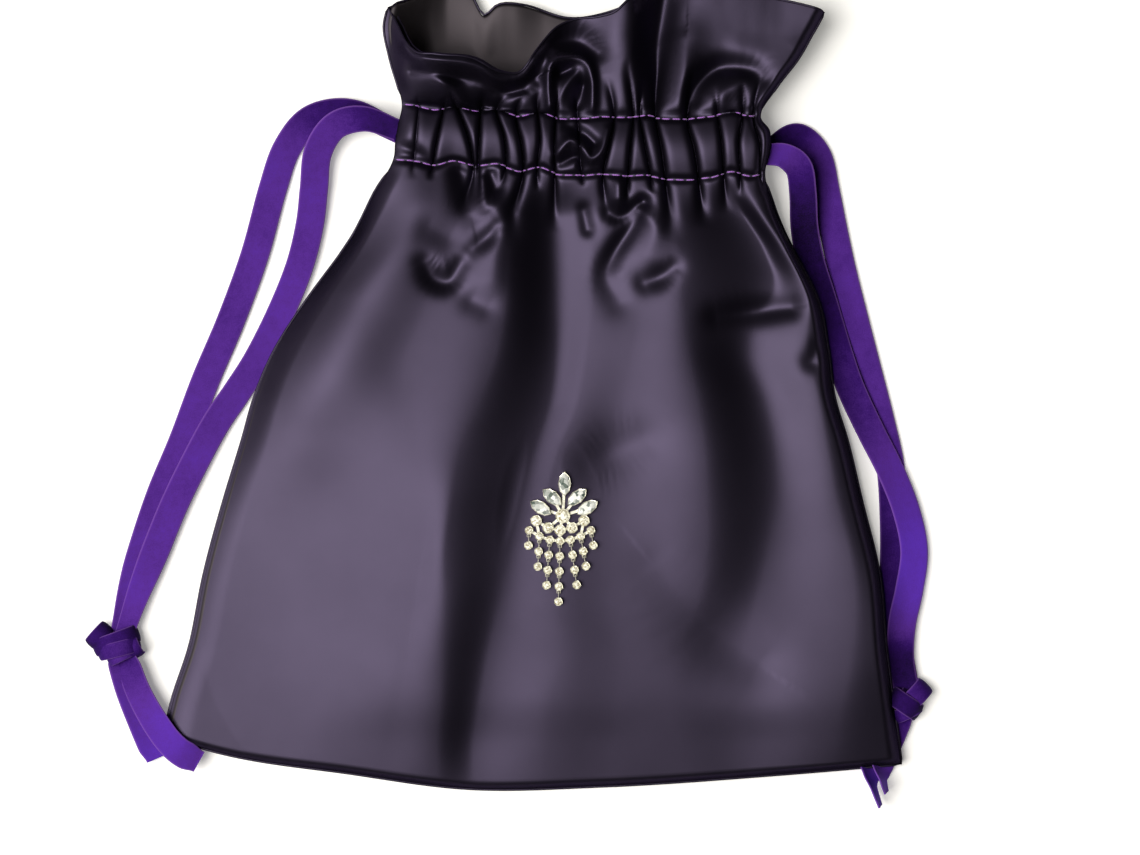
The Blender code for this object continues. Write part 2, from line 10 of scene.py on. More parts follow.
import bpy
import numpy as np
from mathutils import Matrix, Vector


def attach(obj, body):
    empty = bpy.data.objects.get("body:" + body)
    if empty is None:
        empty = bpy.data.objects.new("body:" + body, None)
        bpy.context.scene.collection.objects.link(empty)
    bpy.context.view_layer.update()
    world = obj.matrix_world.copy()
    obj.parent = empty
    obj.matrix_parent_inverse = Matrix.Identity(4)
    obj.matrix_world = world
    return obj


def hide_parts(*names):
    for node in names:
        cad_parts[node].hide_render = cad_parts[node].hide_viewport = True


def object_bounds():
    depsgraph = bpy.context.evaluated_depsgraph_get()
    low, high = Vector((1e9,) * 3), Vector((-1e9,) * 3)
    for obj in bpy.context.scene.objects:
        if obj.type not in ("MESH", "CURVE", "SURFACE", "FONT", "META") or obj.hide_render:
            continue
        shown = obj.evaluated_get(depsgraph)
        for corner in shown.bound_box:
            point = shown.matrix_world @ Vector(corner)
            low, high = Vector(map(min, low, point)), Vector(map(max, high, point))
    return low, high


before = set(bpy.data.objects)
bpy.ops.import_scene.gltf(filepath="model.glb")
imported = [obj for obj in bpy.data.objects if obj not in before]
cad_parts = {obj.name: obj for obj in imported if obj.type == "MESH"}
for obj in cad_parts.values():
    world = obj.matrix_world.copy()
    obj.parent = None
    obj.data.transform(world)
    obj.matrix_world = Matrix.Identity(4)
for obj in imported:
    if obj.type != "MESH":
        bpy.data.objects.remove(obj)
cad_low, cad_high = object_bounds()
MM = 0.001

# ---- driving dimensions ----
COLUMNS, ROWS = ((320, 360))
BOTTOM, MOUTH = -101.0, 160.0
LOWER_STITCHES, UPPER_STITCHES = 99.0, 121.0
CLOTH_THICKNESS = 0.5
CASING_CREST, CASING_PUFF = 17.4, 2.2  # height of the pleats at the rows, and how much more between them
STITCH_PULL, STITCH_REACH = 1.2, 1.1  # how far a row of stitching pulls the cloth in, and how wide it does so
LEAST_OVER_RIBBONS, LEAST_ELSEWHERE = 13.9, 6.9  # height that the front's folds never sink below
HEADING_LEVEL = 15.5  # height of the front heading before it stands up
HEADING_BOW = 0.12  # how far the heading's middle rows run ahead of even spacing, as a share of its height
SUNK_BELOW = 14.3  # a stitch lower than this is hidden between two pleats
STITCH_LENGTH, STITCH_SPACE, THREAD_RADIUS = 2.8, 0.6, 0.24
LINING_GAP, LINING_INSET = 1.2, 1.5  # from the satin to its lining, in height and in from the seams
SEAM_ROLL, MOUTH_ROLL, TUBE_TIP = 0.45, 0.4, 0.02  # radii of the turned edges, and of a tube's closed tip
CASING_ENDS = (96.0, 124.0)  # the side seams are left open between these heights
SEAM_ROUNDING, BACK_ROUNDING = 3.0, 12.0  # reach of the curve: front's bottom seam, all of the back's seams
BROOCH_SPOT = (7.6, -21.0)  # middle of the brooch and its fringe
BROOCH_BED = 14.15  # height of the cloth under the brooch
RIBBON_WIDTH, RIBBON_THICK = 9.5, 0.9
RUN_WIDTH = 7.2  # the ribbon is narrowed in the casing
# In the casing the lining keeps clear of both ribbons' bends all through the pull: its left and right edge
LINING_IN_CASING = (-6.0, 33.5)
FRONT_LINING_LEVEL, BACK_LINING_LEVEL = 4.8, 3.3  # its height there, between the two runs of each ribbon

# Outline: height up the pouch, left edge, right edge
OUTLINE = (
    (-101, -126, 120.8), (-80, -122.3, 118.2), (-60, -117, 115.6), (-35, -112.3, 113.4),
    (-10, -105.6, 107.4), (10, -99.5, 102.6), (24, -95.5, 98.4), (40, -88.7, 96.2), (56, -78.5, 93),
    (73, -66, 84.8), (88, -55.5, 77.6), (99, -48.5, 74.6), (106, -47.8, 76.2), (113, -46.8, 76.2),
    (121, -45.6, 73.2), (127, -46.8, 78), (135, -49.5, 84.8), (147, -51.5, 90.4), (160, -50.2, 94.2),
)
HEM = ((-123, -89.5), (-114, -92.5), (-62, -101.5), (-25, -106.3), (20, -105.6), (78, -101.8), (121, -98.2))
HEM_FADE = 70.0  # the hem's curve dies out this far above the bottom
CORNER, CORNER_LIFT, CORNER_REACH = (116.0, -93.0), 3.0, 14.0  # this corner lies on the right ribbon's tails
# How far the two rows of stitching stray from straight: x, lower row, upper row
STITCH_STRAY = ((-48, 4.0, 0.5), (-20, 1.8, -2.2), (10, -0.5, -4.0), (50, -2.0, -4.0), (79, 0.0, -2.5))
# Where the front heading's top edge lies: x, y
FRONT_EDGE = (
    (-50, 153), (-47, 147), (-44, 140.7), (-41, 137.3), (-34, 135.7), (-21, 134.2), (-13, 130.4),
    (-5, 131.8), (-0.5, 138.7), (5, 145.5), (11, 148.6), (20, 149.6), (25, 151), (30, 155.5), (40, 158),
    (55, 158.5), (77, 155.5), (87, 153.3), (94, 151.3),
)
# Where the back heading's top edge lies: x, y
BACK_EDGE = (
    (-50, 153), (-38, 158.5), (-24, 158.5), (-20, 151.5), (-15, 154.5), (-6, 154.5), (8, 150.5),
    (40, 156.5), (94, 151.3),
)
# How far the front heading stands up off the body: x, height
STANDING = (
    (-50, 1), (-46, 6), (-40, 12), (-15, 13), (0, 8), (12, 2), (30, 4.5), (40, 2), (60, 2), (80, 3),
    (94, 3.5),
)
# Height of the side edges up the pouch. The sides are open at the ends of the casing.
EDGE_PLACES = (BOTTOM, 78, 97, 123, 133, MOUTH)
FRONT_EDGE_HEIGHTS = (4.2, 4.6, 14.6, 14.6, 14.8, 15.4)
BACK_EDGE_HEIGHTS = (4.1, 4.5, 0.6, 0.6, 14.7, 15.3)
# How far in from a side the front curves up: heights up the pouch, reach, and its scale on the left and right
SIDE_PLACES, SIDE_REACHES = (BOTTOM, 40, 97, 123, 140), (8, 8, 5, 5, 6)
LEFT_SCALE, RIGHT_SCALE = 1.2, 0.6

# ---- folds of the front ----
# The front is lofted over lines that run up the pouch along its folds. Each point is (y, x, z).
FOLD_LINES = (
    # left shoulder and left crest
    ((-106, -85, 6.9), (-77, -85, 8.2), (-43, -82, 9.2), (-10, -78, 10.8), (10, -76, 14), (30, -70, 17.6),
     (57, -58, 18.6), (80, -44, 18.8), (100, -38, 19)),
    ((-106, -50, 8.1), (-90, -50, 10.3), (-77, -48, 12.6), (-43, -42, 15.4), (-10, -38, 18),
     (10, -42, 17.9), (30, -45, 17.4), (57, -36, 17.6), (80, -28, 18.2), (100, -24, 19)),
    # the step down into the first fold, left of the middle, and the floor of that fold
    ((-106, -34, 8.4), (-90, -34, 11.1), (-77, -33, 13.6), (-60, -32, 15.6), (-43, -31, 17.2),
     (-26, -31, 18.4), (-10, -29, 19), (7, -26, 18.9), (23, -20, 18.7), (40, -14, 18.4), (57, -11, 18.2),
     (73, -10, 18.6), (100, -9, 19.4)),
    ((-106, -22, 7.2), (-90, -22, 8.3), (-77, -20, 10.4), (-60, -17, 11.8), (-43, -13, 13),
     (-26, -10, 13.7), (-10, -7, 13.9), (7, -2, 13.6), (23, 3, 12.6), (40, 5, 11.8), (57, 5, 11.4),
     (73, 4.5, 11.4), (88, 4, 12.4), (100, 3, 15)),
    # under the brooch, and the rise to the middle crest
    ((-106, 2, 7.7), (-90, 2, 9.9), (-77, 4, 11.9), (-60, 8, 12.9), (-43, 6, 13.9), (-26, 4, 14.1),
     (-10, 6, 14.1), (7, 8, 14.1), (23, 13, 14.2), (40, 16, 14), (57, 18, 13.8), (73, 18, 14),
     (88, 16, 14.8), (100, 16, 16.5)),
    ((-106, 24, 7.4), (-90, 24, 9.6), (-77, 26, 11.6), (-60, 26, 12.6), (-43, 23, 13.7), (-26, 23, 14.1),
     (-10, 23, 14), (7, 24, 13.8), (23, 26, 14.9), (40, 30, 15.6), (57, 32, 15.4), (73, 32, 15.8),
     (88, 30, 16.8), (100, 30, 18)),
    ((-106, 48, 7.5), (-90, 46, 9.9), (-77, 46, 11.8), (-60, 46, 13.2), (-43, 52, 15), (-26, 55, 16),
     (-10, 55, 16.6), (7, 54, 17), (23, 52, 17.3), (40, 49, 17.5), (57, 47.5, 17.6), (73, 46.5, 17.9),
     (88, 43, 18.4), (100, 40, 18.8)),
    # the second fold, right of the middle, and the right crest
    ((-106, 66, 7.5), (-90, 66, 9.8), (-77, 66, 12.1), (-60, 68, 12.7), (-43, 72, 12.7), (-26, 76, 12.5),
     (-10, 78, 12), (7, 77, 11.6), (23, 74, 11.3), (40, 69, 11.4), (50, 71, 11.8), (60, 77, 11.8),
     (73, 74, 11.8), (88, 65, 12.8), (100, 59, 15)),
    ((-106, 96, 8.7), (-90, 98, 12.1), (-77, 100, 14.4), (-60, 103, 15.4), (-43, 104, 15.8),
     (-26, 102, 15.6), (-10, 98, 14.8), (7, 95, 14.9), (23, 92, 15.3), (40, 88, 15.6), (60, 87.5, 16),
     (73, 80.5, 16.6), (88, 71, 17.4), (100, 66, 18.2)),
)
# Height just inside the side seams: y, left, right
SIDE_HEIGHTS = (
    (-106, 5.6, 6.8), (-60, 6.6, 14.6), (0, 6.8, 13.2), (40, 8, 14.4), (60, 9.5, 14.4), (80, 12.5, 14.8),
    (100, 17, 16.5),
)
# Smaller ridges and dents, drawn as strokes.
# Each point is (x, y, height, width on the line's left, width on its right).
STROKE_FALL = 1.8  # power by which a stroke falls off sideways
DENTS = (
    # the crescent under the left gathers and the spots round it
    ((-38, 68.5, -1.2, 3, 3), (-35, 63.5, -2.6, 4, 3.5), (-30, 62.5, -2.8, 4, 3.5), (-26, 68, -1.6, 3, 3)),
    ((-22, 73, -1.2, 3, 3), (-17, 77, -2.2, 3, 3), (-14.5, 80.5, -1.4, 2.5, 2.5)),
    ((-22, 56, -1, 4, 4), (-18, 54, -0.8, 4, 4)),
    ((-36, 80, -0.8, 5, 5), (-30, 77, -0.8, 5, 5)),
    ((-26, 99, -3.4, 4.5, 3.5), (-24.5, 92, -3, 5, 4), (-23, 85, -1.2, 6, 5)),
    ((-16, 98, -2.4, 2, 2.4), (-14.5, 93, -2.6, 2.6, 2.6)),
    ((-19, 96, 1.2, 1.5, 1.5), (-18, 88, 1.6, 2.5, 3), (-14, 84, 1.4, 4, 4), (-15, 64, 0.8, 5, 5)),
    # the middle crest's hollows, with the small puff between them
    ((14.5, 86, -1.4, 2.2, 2.2), (15.8, 80, -1.6, 2.4, 2.4)),
    ((26, 97, 2, 2.2, 2.2), (26, 90, 2.4, 2.6, 2.6)),
    ((23, 85, -1.6, 2.5, 2.5), (27, 84, -2.4, 2.5, 2.5), (34, 89, -2.4, 2, 2)),
    ((35, 88, -1.2, 2, 2), (30, 80, -2.6, 2.8, 2.8), (24.5, 71.5, -2.6, 3, 3.2), (22, 64, -1.6, 4, 4),
     (26, 56, -1, 5, 5)),
    ((35, 62, -1.6, 3.5, 3.5), (40, 64, -2.4, 3.5, 3.5), (44, 67, -1.4, 3, 3)),
    ((33, 86, 1.2, 2, 2.5), (38, 80, 1.6, 4, 4), (36, 72, 1, 5, 5)),
    ((17, 2, -0.7, 7, 7), (25, 6, -1.2, 8, 8), (34, 10, -0.9, 7, 7)),
    # the ellipse across the second fold and the spots at the right edge
    ((59, 51, -1.4, 4, 4), (70, 52.5, -2.6, 4.5, 4), (83, 54, -2.4, 4, 3.5)),
    ((92, 41, -1, 3, 3), (90, 36, -1.6, 3.5, 3.5)),
    # slack near the lower ends of the folds
    ((38, -32, -0.6, 8, 10), (55, -52, -1.2, 10, 12), (72, -64, -1.2, 9, 11)),
)
# Valleys between the gathered pleats.
# Each is x at the five heights up the pouch, depth, width, reach below and above the casing.
VALLEY_DEPTH, VALLEY_WIDTH = 0.8, 0.62  # scale of the depths and widths in the table
WIDER_BELOW, WIDER_ABOVE = 0.11, 0.09  # how fast a valley widens away from the casing
PLEAT_LEAN = 0.45  # how far pleats lean out over a valley
GATHER_HEIGHTS = (85, 99, 110, 121, 133)
GATHERS = (
    (-42, -41.5, -40.5, -40, -41, 1.6, 1.2, 6, 5),
    (-37, -35.3, -33.6, -31.6, -30, 4.2, 0.9, 5, 6),
    (-25, -22, -23.6, -27.2, -30, 5, 1.1, 17, 12),
    (-20, -20.3, -19.9, -19.4, -18, 5, 1, 12, 14),
    (-15, -11.2, -11.6, -14.3, -12, 4.6, 1, 9, 14),
    (-9, -5.4, -6, -7.8, -6, 5, 1.1, 26, 12),
    (0, -0.8, 0.1, -0.6, -1, 4.4, 0.8, 8, 10),
    (5, 5, 4.9, 5.4, 7, 4.6, 0.9, 20, 9),
    (17, 14, 13.2, 12.5, 11, 3, 1.3, 4, 9),
    (22.5, 21, 23, 24.6, 22, 4.4, 1, 14, 12),
    (28.5, 29.3, 30, 30.9, 29, 4.6, 0.9, 10, 16),
    (38, 36.6, 34.7, 33.2, 34, 4.4, 1, 6, 9),
    (43, 41.6, 40.2, 38.4, 39, 5, 1.5, 24, 18),
    (54, 52.6, 51, 48.9, 51, 5, 1.4, 18, 12),
    (62, 60.8, 60, 58.7, 57, 4.2, 1, 14, 7),
    (66, 66.2, 65.6, 67, 66, 4, 0.8, 8, 8),
    (76, 72.8, 72.6, 70.6, 74, 4, 1, 9, 10),
)
# Tangled folds within the casing, as strokes: the S-shaped one left of the middle, and the left end's crease
CASING_FOLDS = (
    ((5.8, 104, 1.5, 1.6, 1.6), (10, 108.5, 2.6, 1.9, 1.9), (14, 106, 2.6, 1.8, 1.8),
     (17, 102.6, 2.4, 1.8, 1.8), (20.4, 105, 2.2, 1.7, 1.7), (22.6, 112, 1.2, 1.6, 1.6)),
    ((7, 101.5, -2, 2, 2), (12, 103.5, -2.6, 1.6, 1.6), (14, 100.5, -1, 1.6, 1.6)),
    ((9, 114, -1.2, 2, 2), (14, 111.5, -2.4, 1.8, 1.8), (18, 108, -2.2, 1.6, 1.6)),
    ((-46, 107, -1.6, 2, 2), (-41, 105, -1.8, 2, 2), (-37, 102, -1, 2, 2)),
)
# Folds of the front heading, as strokes
HEADING_FOLDS = (
    # the black fold right of the middle, the plateau left of it and the crest right of it
    ((37, 118, -4, 4, 3), (38.5, 130, -7, 5, 4), (39, 142, -8, 6, 5), (42, 161, -7.5, 7, 6)),
    ((29, 120, 0.8, 7, 3), (30, 135, 1.4, 9, 3), (31, 150, 1.6, 11, 3)),
    ((46, 119, 1.5, 3, 3), (48, 130, 2.2, 3, 4), (48.5, 142, 1.6, 4, 7)),
    # the drooping edge: a rolled rim with a groove under it
    ((-44, 138.8, 1.3, 1.5, 1.5), (-41, 135.4, 1.5, 1.5, 1.5), (-34, 133.7, 1.6, 1.5, 1.5),
     (-21, 132, 1.6, 1.5, 1.5), (-13, 128, 1.6, 1.5, 1.5), (-5, 129.5, 1.6, 1.5, 1.5),
     (-0.5, 136.4, 1.4, 1.5, 1.5), (5, 143.7, 0.8, 1.5, 1.5)),
    ((-42, 131.2, -1.2, 1.6, 1.6), (-34, 129.8, -1.8, 1.8, 1.8), (-21, 128, -1.8, 1.8, 1.8),
     (-13, 124.4, -1.6, 1.8, 1.8), (-5, 125.4, -1.2, 1.8, 1.8)),
    # the hooked hollow over a small pleat, and the crest that runs into the right corner
    ((50.5, 119, -3.5, 2.2, 2.2), (52, 127, -4.2, 3, 3), (59, 133, -4, 3.5, 3), (69, 132.5, -3.2, 3.5, 3),
     (74, 129, -1.4, 3, 3)),
    ((58, 117, 1.6, 3, 3), (60, 124, 2.4, 3.5, 3.5), (66, 127, 1.2, 3, 3)),
    ((70, 116, 2, 3, 3), (77, 127, 1.6, 4, 5), (84, 138, 1, 6, 6)),
    # the arched fold left of the middle, the hollow over it and the hollows inside it
    ((3.4, 116, 2.6, 1.6, 1.6), (3.4, 132, 3.6, 1.8, 1.8), (9, 135.6, 3.4, 2, 2), (15, 134.6, 3.2, 2, 2),
     (17.2, 128, 3, 1.7, 1.7), (17.4, 115, 1.6, 1.5, 1.5)),
    ((4.5, 119.5, 1.2, 1.8, 1.8), (9, 127, 2, 2, 2), (12.5, 131.5, 1.6, 2, 2)),
    ((6.5, 131, -2.4, 1.8, 1.8), (10, 132.5, -1.6, 1.6, 1.6)),
    ((13, 120, -2.6, 2.4, 2.2), (14.5, 127, -3.4, 2, 1.8)),
    ((-1, 139, -2.6, 3, 3), (6, 142, -4.6, 5, 4), (13, 142, -4.2, 5, 4), (19, 138, -2, 3, 3)),
    # the black hollow left of the arch
    ((-17, 118, -3, 4, 4), (-10, 125, -4.2, 6, 5), (-2, 129, -3.6, 5, 3)),
    # the ridge that runs down from the drooping edge, with a hollow on its right
    ((-38, 133, 1.4, 3, 3), (-30, 125, 2.8, 3, 3), (-23, 117, 2.8, 2.4, 2.4)),
    ((-26, 128, -2, 3, 4), (-18, 121, -2.6, 3, 4)),
)


# ---- numbers and curves ----
def spline(points, column, at):
    """Smooth interpolation of one column of a table whose first column is the place."""
    xs = np.array([point[0] for point in points], float)
    ys = np.array([point[column] for point in points], float)
    slopes = np.gradient(ys, xs)
    at = np.clip(at, xs[0], xs[-1])
    n = np.clip(np.searchsorted(xs, at) - 1, 0, len(xs) - 2)
    step = xs[n + 1] - xs[n]
    u = (at - xs[n]) / step
    blend = u * u * (3 - 2 * u)
    return (
        ys[n] * (1 - blend) + ys[n + 1] * blend
        + step * (u * (1 - u) ** 2 * slopes[n] - u * u * (1 - u) * slopes[n + 1])
    )


def ramp(value, low, high):
    """0 below low, 1 above high and a smooth step between."""
    u = np.clip((value - low) / (high - low), 0.0, 1.0)
    return u * u * (3 - 2 * u)


def noise(x, y, seed):
    """Smooth value noise between -1 and 1, with one bump about every unit."""
    lattice = np.random.default_rng(seed).uniform(-1, 1, (64, 64))
    xi, yi = np.floor(x).astype(int), np.floor(y).astype(int)
    u, v = ramp(x - xi, 0, 1), ramp(y - yi, 0, 1)
    a, b = lattice[xi % 64, yi % 64], lattice[(xi + 1) % 64, yi % 64]
    c, d = lattice[xi % 64, (yi + 1) % 64], lattice[(xi + 1) % 64, (yi + 1) % 64]
    return (a * (1 - u) + b * u) * (1 - v) + (c * (1 - u) + d * u) * v


def strokes(folds, x, y):
    """Sum of ridges and valleys: each falls off to its own width on the left and right of its line."""
    total = np.zeros_like(x)
    for fold in folds:
        best = np.full(x.shape, 1e9)
        height = np.zeros_like(x)
        line = smooth_path(fold, 4)
        for a, b in zip(line, line[1:]):
            ahead = b[:2] - a[:2]
            along = ((x - a[0]) * ahead[0] + (y - a[1]) * ahead[1]) / (ahead @ ahead)
            u = np.clip(along, 0.0, 1.0)
            dx, dy = x - a[0] - u * ahead[0], y - a[1] - u * ahead[1]
            on_left = ahead[0] * dy - ahead[1] * dx > 0
            width = np.where(on_left, a[3] + u * (b[3] - a[3]), a[4] + u * (b[4] - a[4]))
            reach = np.hypot(dx, dy) / width
            nearer = reach < best
            best = np.where(nearer, reach, best)
            height = np.where(nearer, (a[2] + u * (b[2] - a[2])) * np.exp(-(reach**STROKE_FALL)), height)
        total += height
    return total


# ---- cloth surfaces ----
def hem_y(x):
    """The bottom seam's place in y."""
    return spline(HEM, 1, x)


def plan_place(s, t):
    """Where a point of the cloth lies in plan, before the heading's own path."""
    left, right = spline(OUTLINE, 1, t), spline(OUTLINE, 2, t)
    x = left + (right - left) * s
    fade = np.clip(1 - (t - BOTTOM) / HEM_FADE, 0, 1) ** 2
    wobble = 1.1 * noise(x / 7, np.zeros_like(x), 41)
    low, high = spline(STITCH_STRAY, 1, x) + wobble, spline(STITCH_STRAY, 2, x) + wobble
    share = np.clip((t - LOWER_STITCHES) / (UPPER_STITCHES - LOWER_STITCHES), 0, 1)
    stray = (low + (high - low) * share) * ramp(t, 70, LOWER_STITCHES) * (1 - ramp(t, UPPER_STITCHES, 158))
    return x, t + (hem_y(x) - BOTTOM) * fade + stray, left, right


def heading_share(t):
    """0 at the upper row of stitching and 1 at the mouth."""
    return np.clip((t - UPPER_STITCHES) / (MOUTH - UPPER_STITCHES), 0, 1)


def heading_y(x, y, t, top_edge):
    """Above the upper row of stitching, y runs on to the heading's own top edge."""
    share = heading_share(t)
    path = share + HEADING_BOW * np.sin(np.pi * share)
    start = UPPER_STITCHES + spline(STITCH_STRAY, 2, x)
    return np.where(t > UPPER_STITCHES, start + (spline(top_edge, 1, x) - start) * path, y)


def loft(x, y, left, right):
    """Height over the fold lines: smooth from line to line, with the side seams as the outermost lines."""
    y = np.minimum(y, 100.0)
    xs = [left] + [spline(line, 1, y) for line in FOLD_LINES] + [right]
    zs = [spline(line, 2, y) for line in FOLD_LINES]
    zs = [spline(SIDE_HEIGHTS, 1, y)] + zs + [spline(SIDE_HEIGHTS, 2, y)]
    slopes = [(zs[1] - zs[0]) / (xs[1] - xs[0])]
    slopes += [(zs[n + 1] - zs[n - 1]) / (xs[n + 1] - xs[n - 1]) for n in range(1, len(xs) - 1)]
    slopes += [(zs[-1] - zs[-2]) / (xs[-1] - xs[-2])]
    height = np.where(x < left, zs[0], zs[-1])
    for n in range(len(xs) - 1):
        step = xs[n + 1] - xs[n]
        u = np.clip((x - xs[n]) / step, 0, 1)
        blend = u * u * (3 - 2 * u)
        piece = zs[n] * (1 - blend) + zs[n + 1] * blend
        piece += step * (u * (1 - u) ** 2 * slopes[n] - u * u * (1 - u) * slopes[n + 1])
        height = np.where((x >= xs[n]) & (x <= xs[n + 1]), piece, height)
    return height


def gathers(x, t):
    """How far the valleys between pleats drop, and how far the pleats puff out sideways over them."""
    total, push = np.zeros_like(x), np.zeros_like(x)
    below = np.clip(LOWER_STITCHES - t, 0, None)
    above = np.clip(t - UPPER_STITCHES, 0, None)
    for valley in GATHERS:
        line, (depth, width, reach_down, reach_up) = valley[:5], valley[5:]
        middle = spline(tuple(zip(GATHER_HEIGHTS, line)), 1, t)
        fade = np.clip(1 - below / reach_down, 0, 1) * np.clip(1 - above / reach_up, 0, 1)
        away = (x - middle) / (VALLEY_WIDTH * width + WIDER_BELOW * below + WIDER_ABOVE * above)
        power = 1.2 + 0.7 * np.clip((below + above) / 14, 0, 1)
        total += VALLEY_DEPTH * depth * fade**1.2 * np.exp(-(np.abs(away) ** power))
        push += -PLEAT_LEAN * fade * away * np.exp(-(away**2) / 2)
    return total, push


def rounding(distance, radius):
    """How full the cloth is at a distance in from a seam: it rises in a soft curve, then stays flat."""
    return 1 - (1 - np.clip(distance / radius, 0, 1)) ** 2


def front_height(x, y, t, left, right, drop):
    """Height of the front's satin, before it curves down to the seams. drop is the depth of the gathers."""
    height = loft(x, y, left, right)
    casing = ramp(t, 84, 101) * (1 - ramp(t, 119, 136))
    puff = np.sin(np.pi * np.clip((t - LOWER_STITCHES) / (UPPER_STITCHES - LOWER_STITCHES), 0, 1))
    height = height * (1 - casing) + (CASING_CREST + CASING_PUFF * puff) * casing
    share = heading_share(t)
    standing = ramp(share, 0, 0.6)
    height = height * (1 - standing) + HEADING_LEVEL * standing
    height += spline(STANDING, 1, x) * (1 - (1 - share) ** 2)
    height += strokes(DENTS, x, y) * (1 - ramp(t, 95, 101))
    height += strokes(HEADING_FOLDS, x, y) * ramp(t, 119, 125)
    rows = (LOWER_STITCHES, UPPER_STITCHES)
    stitched = sum(np.exp(-(((t - row) / STITCH_REACH) ** 2)) for row in rows)
    height += strokes(CASING_FOLDS, x, y) - drop - STITCH_PULL * stitched
    lane = ramp(t, 97, 101) * (1 - ramp(t, 119.5, 122))
    height = np.maximum(height, LEAST_ELSEWHERE + (LEAST_OVER_RIBBONS - LEAST_ELSEWHERE) * lane)
    waves = 0.45 * noise(x / 34, y / 60, 21) + 0.07 * noise(x / 14, y / 26, 22)
    ripples = ramp(share, 0.1, 1) * (0.7 * noise(x / 13, y / 40, 23) + 0.1 * noise(x / 4, y / 16, 24))
    height += waves + ripples
    bed = np.hypot((x - BROOCH_SPOT[0]) / 15, (y - BROOCH_SPOT[1]) / 28)
    on_bed = 1 - ramp(bed, 0.8, 1.5)
    return height * (1 - on_bed) + np.minimum(height, BROOCH_BED) * on_bed


def front_surface(s, t):
    """Points of the front's satin, from the bottom seam over the casing to the top of the heading."""
    x, y, left, right = plan_place(s, t)
    y = heading_y(x, y, t, FRONT_EDGE)
    drop, push = gathers(x, t)
    height = front_height(x, y, t, left, right, drop)
    inward = np.minimum(x - left, right - x)
    side = np.interp(t, SIDE_PLACES, SIDE_REACHES) * np.where(x > 0, RIGHT_SCALE, LEFT_SCALE)
    full = rounding(inward, side) * rounding(y - hem_y(x), SEAM_ROUNDING)
    edge = np.interp(t, EDGE_PLACES, FRONT_EDGE_HEIGHTS)
    return x + push, y, edge + (height - edge) * full


def back_surface(s, t):
    """Points of the back's satin, flat but for the heading and the corner on the right ribbon's tails."""
    x, y, left, right = plan_place(s, t)
    y = heading_y(x, y, t, BACK_EDGE)
    casing = ramp(t, 84, 97) * (1 - ramp(t, 123, 134))
    ripples = (2.5 + 2.6 * noise(x / 11, y / 60, 31)) * ramp(heading_share(t), 0.2, 1)
    height = 0.35 + 0.25 * casing + ripples
    lift, push = gathers(x, t)
    height += 0.16 * lift * casing
    height += CORNER_LIFT * np.exp(-((x - CORNER[0]) ** 2 + (y - CORNER[1]) ** 2) / CORNER_REACH**2)
    inward = np.minimum(x - left, right - x)
    full = rounding(inward, BACK_ROUNDING) * rounding(y - hem_y(x), BACK_ROUNDING)
    edge = np.interp(t, EDGE_PLACES, BACK_EDGE_HEIGHTS)
    return x + 0.5 * push, y, edge + (height - edge) * full


def grid(surface, columns, rows):
    """Points of a surface on a grid of rows by columns."""
    s, t = np.meshgrid(np.linspace(0, 1, columns), np.linspace(BOTTOM, MOUTH, rows))
    return np.stack(surface(s, t), axis=-1)


def lining_points(points, t, gap, level):
    """A lining sheet inside a satin sheet: below it for a positive gap, above it for a negative one."""
    rows, columns = points.shape[:2]
    padded = np.pad(points[..., 2], 2, mode="edge")
    near = [padded[up:up + rows, along:along + columns] for up in (1, 2, 3) for along in range(5)]
    nearest = np.min(near, axis=0) if gap > 0 else np.max(near, axis=0)
    inner = points.copy()
    inner[..., 2] = nearest - gap
    flat = (ramp(t, 80, 90) * (1 - ramp(t, 130, 140)))[:, None]
    casing_level = np.minimum(level, inner[..., 2]) if gap > 0 else level
    inner[..., 2] = inner[..., 2] * (1 - flat) + casing_level * flat
    in_casing = (ramp(t, 90, 96) * (1 - ramp(t, 121, 130)))[:, None]
    satin_left, satin_right = points[:, :1, 0], points[:, -1:, 0]
    share = (points[..., 0] - satin_left) / (satin_right - satin_left)
    left = (satin_left + LINING_INSET) * (1 - in_casing) + LINING_IN_CASING[0] * in_casing
    right = (satin_right - LINING_INSET) * (1 - in_casing) + LINING_IN_CASING[1] * in_casing
    inner[..., 0] = left + (right - left) * share
    inner[..., 1] += LINING_INSET * (1 - ramp(t, BOTTOM, BOTTOM + 12))[:, None]
    return inner


# ---- meshes ----
def new_mesh(name, points, faces, look):
    """A smooth-shaded mesh object from points in millimetres and faces of one size."""
    mesh = bpy.data.meshes.new(name)
    points = np.asarray(points, float) * MM
    mesh.vertices.add(len(points))
    mesh.vertices.foreach_set("co", points.ravel())
    faces = np.asarray(faces, int)
    mesh.loops.add(faces.size)
    mesh.polygons.add(len(faces))
    mesh.polygons.foreach_set("loop_start", np.arange(len(faces)) * faces.shape[1])
    mesh.loops.foreach_set("vertex_index", faces.ravel())
    mesh.update(calc_edges=True)
    mesh.validate()
    mesh.shade_smooth()
    mesh.materials.append(look)
    obj = bpy.data.objects.new(name, mesh)
    bpy.context.scene.collection.objects.link(obj)
    return obj


def grid_faces(rows, columns, closed=False):
    """Quads of a grid of rows by columns. closed joins the last column to the first."""
    r = np.arange(rows - 1)[:, None]
    c = np.arange(columns if closed else columns - 1)[None, :]
    after = (c + 1) % columns
    corners = (r * columns + c, r * columns + after, (r + 1) * columns + after, (r + 1) * columns + c)
    shape = (rows - 1, c.shape[1])
    return np.stack([np.broadcast_to(corner, shape) for corner in corners], -1).reshape(-1, 4)


